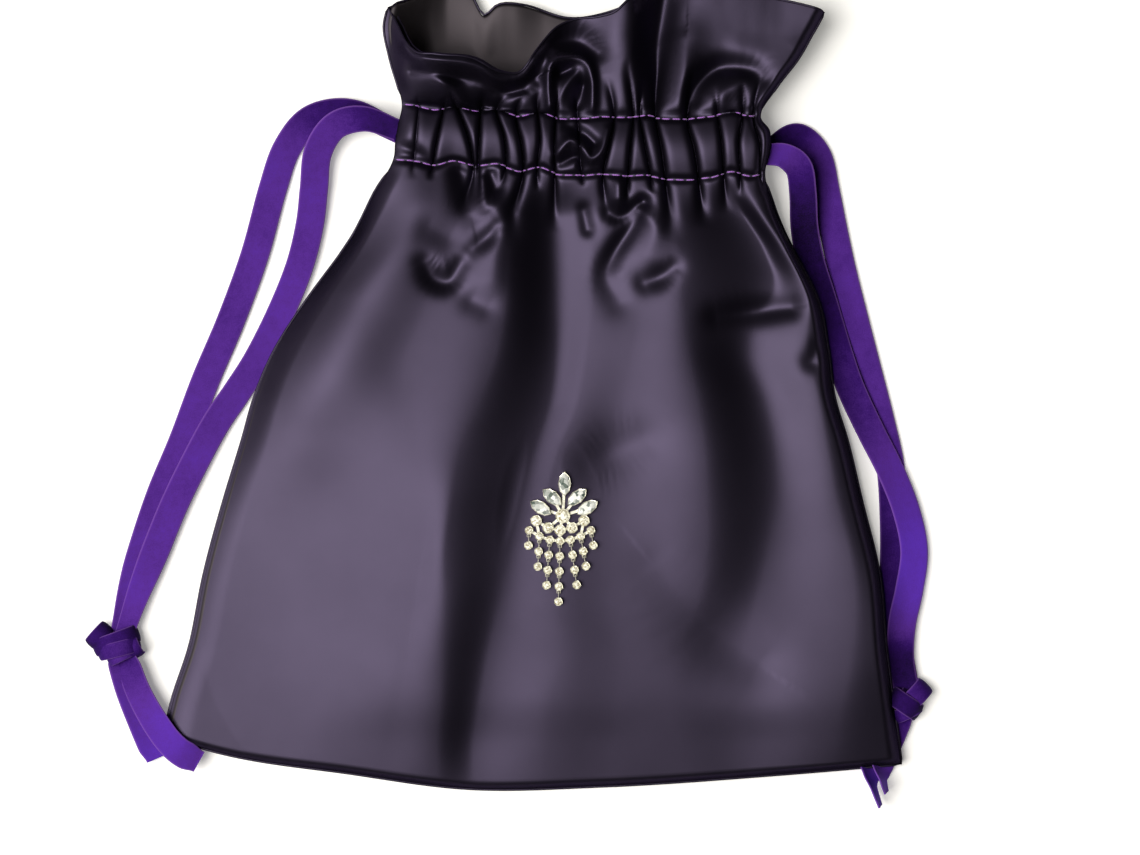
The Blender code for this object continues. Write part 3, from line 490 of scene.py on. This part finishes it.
def sheet(name, points, look, facing_up):
    """A grid of points as a sheet of cloth that is thickened away from its visible side."""
    faces = grid_faces(*points.shape[:2])
    obj = new_mesh(name, points.reshape(-1, 3), faces if facing_up else faces[:, ::-1], look)
    shell = obj.modifiers.new("thickness", "SOLIDIFY")
    shell.thickness = CLOTH_THICKNESS * MM
    shell.offset = -1.0
    return obj


def tube_points(path, radius, sides=8):
    """Rings of points round a path."""
    path = np.asarray(path, float)
    ahead = np.gradient(path, axis=0)
    ahead /= np.linalg.norm(ahead, axis=1, keepdims=True)
    side = np.cross(ahead, (0.0, 0.0, 1.0))
    side /= np.maximum(np.linalg.norm(side, axis=1, keepdims=True), 1e-6)
    up = np.cross(side, ahead)
    turns = np.linspace(0, 2 * np.pi, sides, endpoint=False)[None, :, None]
    radius = np.broadcast_to(radius, len(path))[:, None, None]
    return path[:, None] + radius * (np.cos(turns) * side[:, None] + np.sin(turns) * up[:, None])


def tubes(name, paths, radius, look, sides=8):
    """Several closed-ended tubes as one mesh."""
    points, faces, base = [], [], 0
    for path in paths:
        thin = np.full(len(path), radius)
        thin[[0, -1]] = TUBE_TIP
        rings = tube_points(path, thin, sides)
        points.append(rings.reshape(-1, 3))
        faces.append(grid_faces(len(path), sides, closed=True) + base)
        base += len(path) * sides
    return new_mesh(name, np.concatenate(points), np.concatenate(faces), look)


def smooth_path(points, per_step):
    """Catmull-Rom interpolation of rows of numbers."""
    p = np.asarray(points, float)
    p = np.vstack([2 * p[0] - p[1], p, 2 * p[-1] - p[-2]])
    out = []
    for a, b, c, d in zip(p, p[1:], p[2:], p[3:]):
        for u in np.arange(per_step) / per_step:
            bend = (2 * a - 5 * b + 4 * c - d) * u**2 + (3 * b - a - 3 * c + d) * u**3
            out.append((2 * b + (c - a) * u + bend) / 2)
    return np.array(out + [p[-2]])


# ---- materials ----
def material(name):
    """A new node material, with its nodes, its links and its shader."""
    made = bpy.data.materials.new(name)
    made.use_nodes = True
    nodes = made.node_tree.nodes
    return made, nodes, made.node_tree.links, nodes["Principled BSDF"]


def node(nodes, kind, **values):
    """A new shader node. Each value goes to the input or the property of that name."""
    made = nodes.new(kind)
    for key, value in values.items():
        if key in made.inputs:
            made.inputs[key].default_value = value
        else:
            setattr(made, key, value)
    return made


def colour_ramp(nodes, stops):
    """A colour ramp node with a colour at each (place, red, green, blue)."""
    made = nodes.new("ShaderNodeValToRGB")
    elements = made.color_ramp.elements
    for place, *_ in stops[1:-1]:
        elements.new(place)
    for element, (_, *colour) in zip(elements, stops):
        element.color = (*colour, 1)
    return made


def satin_material(name, sheen_colour, roughness):
    """Dark plum satin: next to no diffuse light, and a broad soft sheen with fine threads in it."""
    made, nodes, links, shader = material(name)
    place = node(nodes, "ShaderNodeTexCoord")
    blotch = node(nodes, "ShaderNodeTexNoise", Scale=45.0, Detail=4.0)
    links.new(place.outputs["Object"], blotch.inputs["Vector"])
    darker, lighter = [c * 0.86 for c in sheen_colour], [c * 1.14 for c in sheen_colour]
    colour = colour_ramp(nodes, ((0.0, *darker), (1.0, *lighter)))
    links.new(blotch.outputs["Fac"], colour.inputs["Fac"])
    links.new(colour.outputs["Color"], shader.inputs["Base Color"])
    threads = node(nodes, "ShaderNodeTexWave", Scale=2600.0, Distortion=1.0)
    threads.inputs["Detail Scale"].default_value = 2.0
    links.new(place.outputs["Object"], threads.inputs["Vector"])
    bump = node(nodes, "ShaderNodeBump", Strength=0.12, Distance=0.00004)
    links.new(threads.outputs["Fac"], bump.inputs["Height"])
    links.new(bump.outputs["Normal"], shader.inputs["Normal"])
    shader.inputs["Metallic"].default_value = 1.0
    shader.inputs["Roughness"].default_value = roughness
    shader.inputs["Specular Tint"].default_value = (0.10, 0.09, 0.13, 1)
    return made


# Velvet's colour by how the pile catches the light, from 0 in shade to 1 facing it: place, red, green, blue
PILE_COLOURS = (
    (0.0, 0.006, 0.0005, 0.022), (0.3, 0.028, 0.004, 0.11), (0.6, 0.080, 0.020, 0.235),
    (1.0, 0.10, 0.028, 0.42),
)


def velvet_material():
    """Violet velvet ribbon: painted light and shade along the pile, crushed pile that is darker in patches,
    and a paler woven edge.
    """
    made, nodes, links, shader = material("violet_velvet")
    place = node(nodes, "ShaderNodeTexCoord")
    # painted light and shade of the pile, set on each ribbon's points, with the crushed patches added to it
    pile_light = node(nodes, "ShaderNodeAttribute", attribute_name="pile_light")
    level = pile_light.outputs["Fac"]
    for size, strength in ((70.0, 0.28), (420.0, 0.2), (2600.0, 0.35)):
        crush = node(nodes, "ShaderNodeTexNoise", Scale=size, Detail=3.0)
        links.new(place.outputs["Object"], crush.inputs["Vector"])
        centred = node(nodes, "ShaderNodeMath", operation="SUBTRACT")
        centred.inputs[1].default_value = 0.5
        links.new(crush.outputs["Fac"], centred.inputs[0])
        total = node(nodes, "ShaderNodeMath", operation="MULTIPLY_ADD")
        total.inputs[1].default_value = strength
        links.new(centred.outputs["Value"], total.inputs[0])
        links.new(level, total.inputs[2])
        level = total.outputs["Value"]
    pile = colour_ramp(nodes, PILE_COLOURS)
    links.new(level, pile.inputs["Fac"])
    across = node(nodes, "ShaderNodeAttribute", attribute_name="across")
    edge = node(nodes, "ShaderNodeMapRange")
    edge.inputs["From Min"].default_value = 0.86
    edge.inputs["From Max"].default_value = 0.97
    edge.inputs["To Max"].default_value = 0.6
    links.new(across.outputs["Fac"], edge.inputs["Value"])
    woven = node(nodes, "ShaderNodeMix", data_type="RGBA")
    woven.inputs["B"].default_value = (0.20, 0.08, 0.36, 1)
    links.new(edge.outputs["Result"], woven.inputs["Factor"])
    links.new(pile.outputs["Color"], woven.inputs["A"])
    links.new(woven.outputs["Result"], shader.inputs["Base Color"])
    bump = node(nodes, "ShaderNodeBump", Strength=0.4, Distance=0.0002)
    links.new(crush.outputs["Fac"], bump.inputs["Height"])
    links.new(bump.outputs["Normal"], shader.inputs["Normal"])
    shader.inputs["Roughness"].default_value = 0.9
    shader.inputs["Specular IOR Level"].default_value = 0.1
    shader.inputs["Sheen Weight"].default_value = 0.15
    shader.inputs["Sheen Roughness"].default_value = 0.35
    shader.inputs["Sheen Tint"].default_value = (0.45, 0.3, 0.9, 1)
    return made


def thread_material():
    """Bright purple sewing thread with its twist, the twist's bands painted as painted highlight and shade.
    """
    made, nodes, links, shader = material("purple_thread")
    place = node(nodes, "ShaderNodeTexCoord")
    twist_light_bands = node(nodes, "ShaderNodeTexWave", Scale=900.0, bands_direction="DIAGONAL")
    links.new(place.outputs["Object"], twist_light_bands.inputs["Vector"])
    # the twist is real; its colour bands are painted highlight and shade, from a shaded violet to a lit
    # lavender
    colour = node(nodes, "ShaderNodeMix", data_type="RGBA")
    colour.inputs["A"].default_value = (0.16, 0.04, 0.30, 1)
    colour.inputs["B"].default_value = (0.46, 0.17, 0.64, 1)
    links.new(twist_light_bands.outputs["Fac"], colour.inputs["Factor"])
    links.new(colour.outputs["Result"], shader.inputs["Base Color"])
    shader.inputs["Roughness"].default_value = 0.45
    shader.inputs["Sheen Weight"].default_value = 0.4
    return made


def metal_material():
    """Pale polished setting metal with slight wear."""
    made, nodes, links, shader = material("setting_metal")
    place = node(nodes, "ShaderNodeTexCoord")
    wear = node(nodes, "ShaderNodeTexNoise", Scale=600.0, Detail=3.0)
    links.new(place.outputs["Object"], wear.inputs["Vector"])
    rough = node(nodes, "ShaderNodeMapRange")
    rough.inputs["To Min"].default_value = 0.12
    rough.inputs["To Max"].default_value = 0.38
    links.new(wear.outputs["Fac"], rough.inputs["Value"])
    links.new(rough.outputs["Result"], shader.inputs["Roughness"])
    shader.inputs["Base Color"].default_value = (0.93, 0.90, 0.74, 1)
    shader.inputs["Metallic"].default_value = 0.5
    return made


def crystal_material(name, dark, light, cell, painted_glow):
    """Foil-backed rhinestone under clear glass: each small facet is painted lighter or darker as painted
    glints and shade, and the colour glows as painted light.
    """
    made, nodes, links, shader = material(name)
    place = node(nodes, "ShaderNodeTexCoord")
    facets = node(nodes, "ShaderNodeTexVoronoi", Scale=1000.0 / cell, Randomness=0.85)
    links.new(place.outputs["Object"], facets.inputs["Vector"])
    grey = node(nodes, "ShaderNodeSeparateColor")
    links.new(facets.outputs["Color"], grey.inputs["Color"])
    colour = node(nodes, "ShaderNodeMix", data_type="RGBA")
    colour.inputs["A"].default_value = (*dark, 1)
    colour.inputs["B"].default_value = (*light, 1)
    links.new(grey.outputs["Red"], colour.inputs["Factor"])
    links.new(colour.outputs["Result"], shader.inputs["Base Color"])
    bump = node(nodes, "ShaderNodeBump", Strength=0.6, Distance=0.0003)
    links.new(grey.outputs["Green"], bump.inputs["Height"])
    links.new(bump.outputs["Normal"], shader.inputs["Normal"])
    # painted light: the facets' colour glows, though the stone is no lamp
    links.new(colour.outputs["Result"], shader.inputs["Emission Color"])
    shader.inputs["Emission Strength"].default_value = painted_glow
    shader.inputs["Roughness"].default_value = 0.08
    shader.inputs["Coat Weight"].default_value = 1.0
    shader.inputs["Coat Roughness"].default_value = 0.02
    return made


SATIN = satin_material("plum_satin", (0.039, 0.032, 0.052), 0.48)
LINING = satin_material("plum_lining", (0.066, 0.057, 0.062), 0.62)
VELVET = velvet_material()
THREAD = thread_material()
METAL = metal_material()
# each stone's light colour is a painted glint and its dark colour painted shade
CHATON = crystal_material("chaton_crystal", (0.30, 0.25, 0.13), (1.0, 1.0, 0.86), 0.5, 0.35)
NAVETTE = crystal_material("navette_crystal", (0.07, 0.10, 0.08), (1.0, 1.0, 0.92), 1.2, 0.2)


# ---- cloth pieces ----
def add_cloth(name, points, look, facing_up, node_name):
    """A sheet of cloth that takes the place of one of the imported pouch's nodes."""
    obj = sheet(name, points, look, facing_up)
    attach(obj, "pouch")
    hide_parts(node_name)


def add_mouth_roll(name, satin_edge, lining_edge):
    """The turned edges of a heading's satin and of its lining, as thin rolls."""
    rolls = [satin_edge[::2] + (0, 0, 0.1), lining_edge[::2] + (0, 0.5, 0.1)]
    roll = tubes(name, rolls, MOUTH_ROLL, SATIN)
    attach(roll, "pouch")


def build_cloth():
    """Satin and lining of front and back, and the mouth's rolled edges. Returns the front's points."""
    t = np.linspace(BOTTOM, MOUTH, ROWS)
    back_t = np.linspace(BOTTOM, MOUTH, ROWS // 2)
    front = grid(front_surface, COLUMNS, ROWS)
    back = grid(back_surface, COLUMNS // 2, ROWS // 2)
    inner_front = lining_points(front[::2, ::2], t[::2], LINING_GAP, FRONT_LINING_LEVEL)
    inner_back = lining_points(back, back_t, -LINING_GAP, BACK_LINING_LEVEL)
    add_cloth("front_satin", front, SATIN, True, "front_panel")
    add_cloth("back_satin", back, SATIN, False, "back_panel")
    add_cloth("front_lining_cloth", inner_front, LINING, False, "front_lining")
    add_cloth("back_lining_cloth", inner_back, LINING, True, "back_lining")
    add_mouth_roll("front_mouth_roll", front[-1], inner_front[-1])
    add_mouth_roll("back_mouth_roll", back[-1], inner_back[-1])
    return front


def build_seams(front):
    """The turned side and bottom seams, as thin rolls of satin. The sides have none along the casing."""
    t = np.linspace(BOTTOM, MOUTH, ROWS)
    below, above = t < CASING_ENDS[0], t > CASING_ENDS[1]
    edges = [front[below, 0], front[above, 0], front[below, -1], front[above, -1], front[0]]
    paths = [edge[::3] + (0, 0, -0.15) for edge in edges]
    seams = tubes("seam_rolls", paths, SEAM_ROLL, SATIN)
    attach(seams, "pouch")


def stitch_paths(row, stitch, gap):
    """Short stitches along one row, lying on the satin. Between pleats the row sinks out of sight."""
    s = np.linspace(0.01, 0.99, 1600)
    line = np.stack(front_surface(s, np.full_like(s, row)), -1)
    beside = np.stack(front_surface(s, np.full_like(s, row + 0.4)), -1)
    outward = np.cross(np.gradient(line, axis=0), beside - line)
    outward /= np.linalg.norm(outward, axis=1, keepdims=True)
    line = line + outward * 0.12
    length = np.concatenate([[0], np.cumsum(np.linalg.norm(np.diff(line, axis=0), axis=1))])
    paths = []
    for start in np.arange(0, length[-1] - stitch, stitch + gap):
        at = np.linspace(start, start + stitch, 7)
        if np.interp(at, length, line[:, 2]).mean() < SUNK_BELOW:
            continue
        path = np.stack([np.interp(at, length, line[:, k]) for k in range(3)], -1)
        path += np.stack([np.interp(at, length, outward[:, k]) for k in range(3)], -1) * 0.1
        paths.append(path)
    return paths


def build_stitching():
    """The two rows of violet thread along the casing."""
    rows = {"lower_casing_stitching": LOWER_STITCHES, "upper_casing_stitching": UPPER_STITCHES}
    for name, row in rows.items():
        paths = stitch_paths(row, STITCH_LENGTH, STITCH_SPACE)
        stitches = tubes(name + "_thread", paths, THREAD_RADIUS, THREAD, sides=6)
        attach(stitches, "pouch")
        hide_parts(name)


# ---- ribbons ----
# Strand points are (x, y, z, tilt in degrees about the strand, painted light on the pile from 0 in painted
# shade to 1 brightly lit).
# Inner strands come out of the casing's front run, and outer ones out of its back run.
LEFT_INNER = (
    (-47, 112.6, 12.8, 0, 0.2), (-58, 116.5, 11.8, 12, 0.25), (-68, 114.5, 8.8, 20, 0.5),
    (-74, 106, 5.6, 10, 0.6), (-75.5, 94, 3.6, 4, 0.6), (-77, 82, 2.2, 0, 0.6), (-80.5, 68, 1.6, -5, 0.6),
    (-87, 52, 1.2, -5, 0.65), (-94.5, 37, 1.2, 0, 0.6), (-101.5, 26, 1.3, 3, 0.6),
    (-108.5, 15.5, 1.9, 4, 0.6), (-115.5, 2.5, 2.1, 2, 0.65), (-122.5, -12, 2.1, 0, 0.6),
    (-129, -28, 2.2, 0, 0.6), (-134.5, -42, 2.6, -8, 0.65), (-138.8, -55, 3.4, -14, 0.5),
)
LEFT_OUTER = (
    (-47, 112.6, 2.475, 0, 0.3), (-62, 119.3, 2.2, 0, 0.2), (-76, 117.6, 2, 8, 0.35),
    (-84.5, 108, 1.6, 10, 0.6), (-89.5, 94, 1.2, 4, 0.6), (-95.5, 72, 1, 0, 0.6),
    (-103.5, 50, 0.9, 0, 0.55), (-112, 30, 0.8, 0, 0.6), (-119.5, 10, 0.7, 0, 0.6),
    (-127, -8, 0.7, 0, 0.55), (-133, -26, 1, 4, 0.6), (-137.5, -42, 1.4, 8, 0.6), (-140.5, -55, 2, 10, 0.5),
)
LEFT_TAILS = (
    ((-141, -60, 2, 10, 0.45), (-137.5, -73, 1.7, 14, 0.65), (-132.5, -86, 1.4, 10, 0.75),
     (-128, -96.5, 1.3, 8, 0.9)),
    ((-139, -60, 3.4, -26, 0.3), (-134, -74, 4, -18, 0.6), (-126.8, -86, 6.4, -8, 0.75),
     (-120.6, -93, 7.4, -4, 0.75), (-113.6, -97.2, 6, 6, 0.6)),
)
RIGHT_INNER = (
    (75, 104.6, 12.8, 0, 0.6), (81, 104.2, 12, -10, 0.62), (86, 100.4, 9.8, -20, 0.4),
    (87.6, 92, 6.8, -20, 0.12), (88.3, 81, 4.2, -14, 0.08), (90.4, 70, 2.6, -8, 0.10),
    (94.2, 58, 1.8, -4, 0.15), (97.2, 48, 1.6, 0, 0.25), (100.2, 38, 1.8, 0, 0.3), (104, 27, 2, 0, 0.4),
    (110.5, 13, 2.3, 6, 0.5), (117, 0, 2.5, 10, 0.65), (122.3, -13.5, 2.5, 10, 0.75),
    (125, -27, 2.4, 8, 0.95), (123.4, -40, 2.2, 2, 0.9), (121, -51.5, 2.2, 0, 0.6),
    (120.6, -63, 2.3, 0, 0.12), (122.5, -74, 3, 0, 0.2),
)
RIGHT_OUTER = (
    (75, 104.6, 2.475, 0, 0.12), (80, 108.6, 2.4, 6, 0.15), (86.5, 111.2, 2.2, 10, 0.25),
    (92.8, 105, 1.6, 8, 0.55), (95.6, 93, 1, 2, 0.55), (98, 81, 0.8, 0, 0.55), (101, 67, 0.8, 0, 0.58),
    (105, 51, 0.8, 0, 0.6), (109.4, 34, 0.7, 0, 0.58), (114, 16, 0.7, 0, 0.5), (117.4, 0, 0.7, 0, 0.35),
    (118.5, -20, 0.7, 0, 0.3), (118.5, -40, 0.7, 0, 0.3), (120, -58, 0.8, 0, 0.2),
    (122.6, -73, 1.5, 0, 0.2),
)
RIGHT_TAILS = (
    ((122, -79, 1.6, 0, 0.3), (116, -89, 1.2, 6, 0.4), (111.2, -97.5, 1.5, 12, 0.6),
     (110.4, -101.8, 3.9, 48, 0.85), (111.2, -106, 5.1, 74, 0.95), (113.4, -112.2, 5.1, 76, 0.9)),
    ((122, -77, 2.8, 0, 0.3), (117.8, -88, 2.5, 6, 0.4), (114.6, -96, 2.4, 12, 0.6),
     (113.9, -100.4, 4.2, 48, 0.7), (114.3, -103.5, 5.3, 72, 0.8), (115.4, -107.6, 5.3, 74, 0.8)),
)
# Each ribbon's run in the casing: y of its lane, x where it comes out, x of the middle of its far bend
LEFT_RUN = (112.6, -47.0, 66.0)
RIGHT_RUN = (104.6, 75.0, -38.5)
FRONT_RUN_Z, BACK_RUN_Z = 12.825, 2.475
# Widths where the strands and the tails meet the knot, and at the tails' ends
LEFT_WIDTHS = (6.8, 6.8, 7.5)
RIGHT_WIDTHS = (8.6, 6.8, 6.2)
# Bands wrapped over each knot: centre, half length and rise, lean in plan in degrees, width, painted light on
# the pile.
# The first one fills the inside of the knot and is painted dark with painted shade.
LEFT_WRAPS = (
    ((-140.8, -59.2, 2.2), (3.4, 3.6), 110, 9.0, 0.2),
    ((-141.6, -57.0, 3.0), (7.6, 4.2), 20, 6.0, 0.22),
    ((-140.6, -59.6, 3.0), (6.8, 4.9), 14, 5.2, 0.34),
    ((-139.6, -61.6, 3.0), (4.8, 3.4), 26, 4.2, 0.45),
    ((-147.2, -55.4, 2.6), (4.2, 3.4), 48, 5.4, 0.16),
    ((-135.8, -59.0, 2.6), (3.4, 3.8), -64, 5.2, 0.30),
)
RIGHT_WRAPS = (
    ((122.6, -77.6, 2.0), (3.6, 3.2), 56, 8.0, 0.12),
    ((125.2, -75.4, 2.8), (5.2, 3.6), 46, 6.6, 0.30),
    ((121.8, -78.0, 3.0), (5.6, 4.6), -34, 6.4, 0.12),
    ((122.6, -80.6, 2.8), (4.6, 3.6), 26, 4.6, 0.34),
)


def ribbon_section():
    """Half-unit outline of the ribbon's section: (across from -1 to 1, up from -1 to 1)."""
    turns = np.linspace(0, 2 * np.pi, 18, endpoint=False)
    across, up = np.cos(turns), np.sin(turns)
    return np.sign(across) * np.abs(across) ** 0.7, np.sign(up) * np.abs(up) ** 0.55


def sweep_ribbon(path, tilt, pile_light, across_hint=None, width=RIBBON_WIDTH):
    """Points, faces, edge marks and painted light and shade of a flat ribbon along a path. Tilt turns it
    about its length.
    """
    ahead = np.gradient(path, axis=0)
    ahead /= np.linalg.norm(ahead, axis=1, keepdims=True)
    side = np.cross(ahead, (0.0, 0.0, 1.0)) if across_hint is None else np.array(across_hint)
    side = side / np.linalg.norm(side, axis=1, keepdims=True)
    up = np.cross(side, ahead)
    turn = np.radians(tilt)[:, None]
    side, up = side * np.cos(turn) + up * np.sin(turn), up * np.cos(turn) - side * np.sin(turn)
    across, rise = ribbon_section()
    cup = 0.35 * (across**2 - 0.4)
    rings = (
        path[:, None]
        + side[:, None] * (across * np.broadcast_to(width, len(path))[:, None] / 2)[..., None]
        + up[:, None] * (rise * RIBBON_THICK / 2 + cup)[None, :, None]
    )
    count = len(across)
    ends = path[[0, -1]]
    points = np.vstack([rings.reshape(-1, 3), ends])
    faces = grid_faces(len(path), count, closed=True)
    base = len(path) * count
    turn_on = (np.arange(count) + 1) % count
    cap = np.stack([np.arange(count), turn_on, np.full(count, base)], -1)
    far = (len(path) - 1) * count
    cap_far = np.stack([far + turn_on, far + np.arange(count), np.full(count, base + 1)], -1)
    edge = np.concatenate([np.tile(np.abs(across), len(path)), [0.0, 0.0]])
    shade = np.concatenate([np.repeat(pile_light, count), [pile_light[0], pile_light[-1]]])
    return points, faces, np.vstack([cap, cap_far]), edge, shade


def join_ribbons(name, swept, drawstring):
    """One mesh from several swept ribbons, with the attributes that the velvet material reads.

    drawstring is the name of both the body that it rides on and the node that it takes the place of.
    """
    points, quads, tris, edge, shade, base = [], [], [], [], [], 0
    for part_points, part_quads, part_tris, part_edge, part_shade in swept:
        points.append(part_points)
        quads.append(part_quads + base)
        tris.append(part_tris + base)
        edge.append(part_edge)
        shade.append(part_shade)
        base += len(part_points)
    mesh = bpy.data.meshes.new(name)
    faces = np.vstack(quads).tolist() + np.vstack(tris).tolist()
    mesh.from_pydata((np.vstack(points) * MM).tolist(), [], faces)
    mesh.update()
    # across marks the woven edge; the other attribute carries the painted light and shade of the pile
    for label, values in (("across", np.concatenate(edge)), ("pile_light", np.concatenate(shade))):
        mesh.attributes.new(label, "FLOAT", "POINT").data.foreach_set("value", values)
    mesh.shade_smooth()
    mesh.materials.append(VELVET)
    obj = bpy.data.objects.new(name, mesh)
    bpy.context.scene.collection.objects.link(obj)
    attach(obj, drawstring)
    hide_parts(drawstring)


def casing_run(run):
    """The part of a ribbon inside the casing, from the front exit round the bend to the back exit."""
    lane, exit_x, bend_x = run
    side = 1 if bend_x > exit_x else -1
    middle, radius = (FRONT_RUN_Z + BACK_RUN_Z) / 2, (FRONT_RUN_Z - BACK_RUN_Z) / 2
    there = [(x, lane, FRONT_RUN_Z) for x in np.linspace(exit_x, bend_x, 24)[:-1]]
    bend = [
        (bend_x + side * radius * math.cos(turn), lane, middle + radius * math.sin(turn))
        for turn in np.radians(np.linspace(90, -90, 13))
    ]
    back = [(x, lane, BACK_RUN_Z) for x in np.linspace(bend_x, exit_x, 24)[1:]]
    return np.array(there + bend + back)


def sweep_strand(points, start_width, end_width):
    """A strand or a tail, bunched up at one end or both: in the casing and where it meets the knot."""
    path = smooth_path(points, 10)
    share = np.linspace(0, 1, len(path))
    width = RIBBON_WIDTH + (start_width - RIBBON_WIDTH) * (1 - ramp(share, 0, 0.12))
    width = width + (end_width - RIBBON_WIDTH) * ramp(share, 0.85, 1)
    return sweep_ribbon(path[:, :3], path[:, 3], path[:, 4], width=width)


def sweep_run(run):
    """The ribbon's run inside the casing, with its width along the pouch."""
    path = casing_run(run)
    hint = np.tile((0.0, 1.0, 0.0), (len(path), 1))
    # the run inside the casing is painted at one low, shaded level of pile light all along
    return sweep_ribbon(path, np.zeros(len(path)), np.full(len(path), 0.3), hint, RUN_WIDTH)


def wrap_band(centre, radii, lean, width, pile_light):
    """A band of ribbon wrapped over a knot: an ellipse arc across it, leaning by some degrees in plan."""
    turns = np.radians(np.linspace(-100, 100, 40))
    turn = math.radians(lean)
    across = radii[0] * np.sin(turns)
    x, y = centre[0] + across * math.cos(turn), centre[1] + across * math.sin(turn)
    path = np.stack([x, y, centre[2] + radii[1] * np.cos(turns)], -1)
    hint = np.tile((-math.sin(turn), math.cos(turn), 0.0), (len(path), 1))
    # painted light: each band is painted lighter over the top of the knot and darker down its sides
    shade = pile_light + 0.12 * np.cos(turns * 2)
    return sweep_ribbon(path, np.zeros(len(path)), shade, hint, width)


def build_ribbon(side, strands, tails, run, wraps, widths):
    """One drawstring: its strands and tails, its run in the casing and the bands of its knot."""
    strand_at_knot, tail_at_knot, tail_end = widths
    swept = [sweep_strand(points, RUN_WIDTH, strand_at_knot) for points in strands]
    swept += [sweep_strand(points, tail_at_knot, tail_end) for points in tails]
    swept += [sweep_run(run)]
    swept += [wrap_band(*wrap) for wrap in wraps]
    join_ribbons(side + "_velvet_ribbon", swept, side + "_drawstring")


def build_ribbons():
    """Both drawstrings."""
    build_ribbon("left", (LEFT_INNER, LEFT_OUTER), LEFT_TAILS, LEFT_RUN, LEFT_WRAPS, LEFT_WIDTHS)
    build_ribbon("right", (RIGHT_INNER, RIGHT_OUTER), RIGHT_TAILS, RIGHT_RUN, RIGHT_WRAPS, RIGHT_WIDTHS)


# ---- brooch ----
def dress_brooch():
    """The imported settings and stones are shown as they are, with metal and crystal on them."""
    for name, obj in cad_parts.items():
        if name == "brooch_frame" or name.startswith("fringe_cup"):
            look = METAL
        elif name.startswith("navette"):
            look = NAVETTE
        elif "stone" in name:
            look = CHATON
        else:
            continue
        obj.data.materials.clear()
        obj.data.materials.append(look)


# ---- studio ----
LIGHT_TARGET = (0.01, 0.015, 0.0)


def area_light(name, place, size, power, colour):
    """A rectangular light that faces the middle of the pouch."""
    lamp = bpy.data.lights.new(name, "AREA")
    lamp.shape = "RECTANGLE"
    lamp.size, lamp.size_y = size
    lamp.energy = power
    lamp.color = colour
    obj = bpy.data.objects.new(name, lamp)
    bpy.context.scene.collection.objects.link(obj)
    obj.location = place
    obj.rotation_mode = "QUATERNION"
    obj.rotation_quaternion = (Vector(LIGHT_TARGET) - Vector(place)).to_track_quat("-Z", "Y")


def build_floor():
    """A sheet of white paper, just under the pouch."""
    made, _, _, shader = material("white_paper")
    shader.inputs["Base Color"].default_value = (0.93, 0.92, 0.88, 1)
    shader.inputs["Roughness"].default_value = 0.9
    shader.inputs["Emission Color"].default_value = (1.0, 0.99, 0.94, 1)
    shader.inputs["Emission Strength"].default_value = 0.25
    bpy.ops.mesh.primitive_plane_add(size=6.0, location=(0.0, 0.0, cad_low.z - 0.0003))
    floor = bpy.context.active_object
    floor.name = "floor"
    floor.data.materials.append(made)


def build_studio():
    """Soft light from a large window above the left and a smaller one lower down, and a camera overhead."""
    world = bpy.data.worlds.new("room")
    bpy.context.scene.world = world
    world.use_nodes = True
    world.node_tree.nodes["Background"].inputs["Color"].default_value = (1, 1, 1, 1)
    world.node_tree.nodes["Background"].inputs["Strength"].default_value = 0.02
    area_light("window", (-1.10, -0.20, 2.25), (1.5, 1.7), 80.0, (1.0, 0.98, 0.96))
    area_light("side_window", (-1.90, 0.30, 1.30), (1.4, 1.4), 12.0, (1.0, 0.98, 0.96))
    camera = bpy.data.objects.new("camera", bpy.data.cameras.new("camera"))
    bpy.context.scene.collection.objects.link(camera)
    bpy.context.scene.camera = camera
    camera.data.lens = 100.0
    camera.location = (0.010, 0.0142, 1.061)
    bpy.context.scene.view_settings.view_transform = "Standard"


front_points = build_cloth()
build_seams(front_points)
build_stitching()
build_ribbons()
dress_brooch()
build_floor()
build_studio()
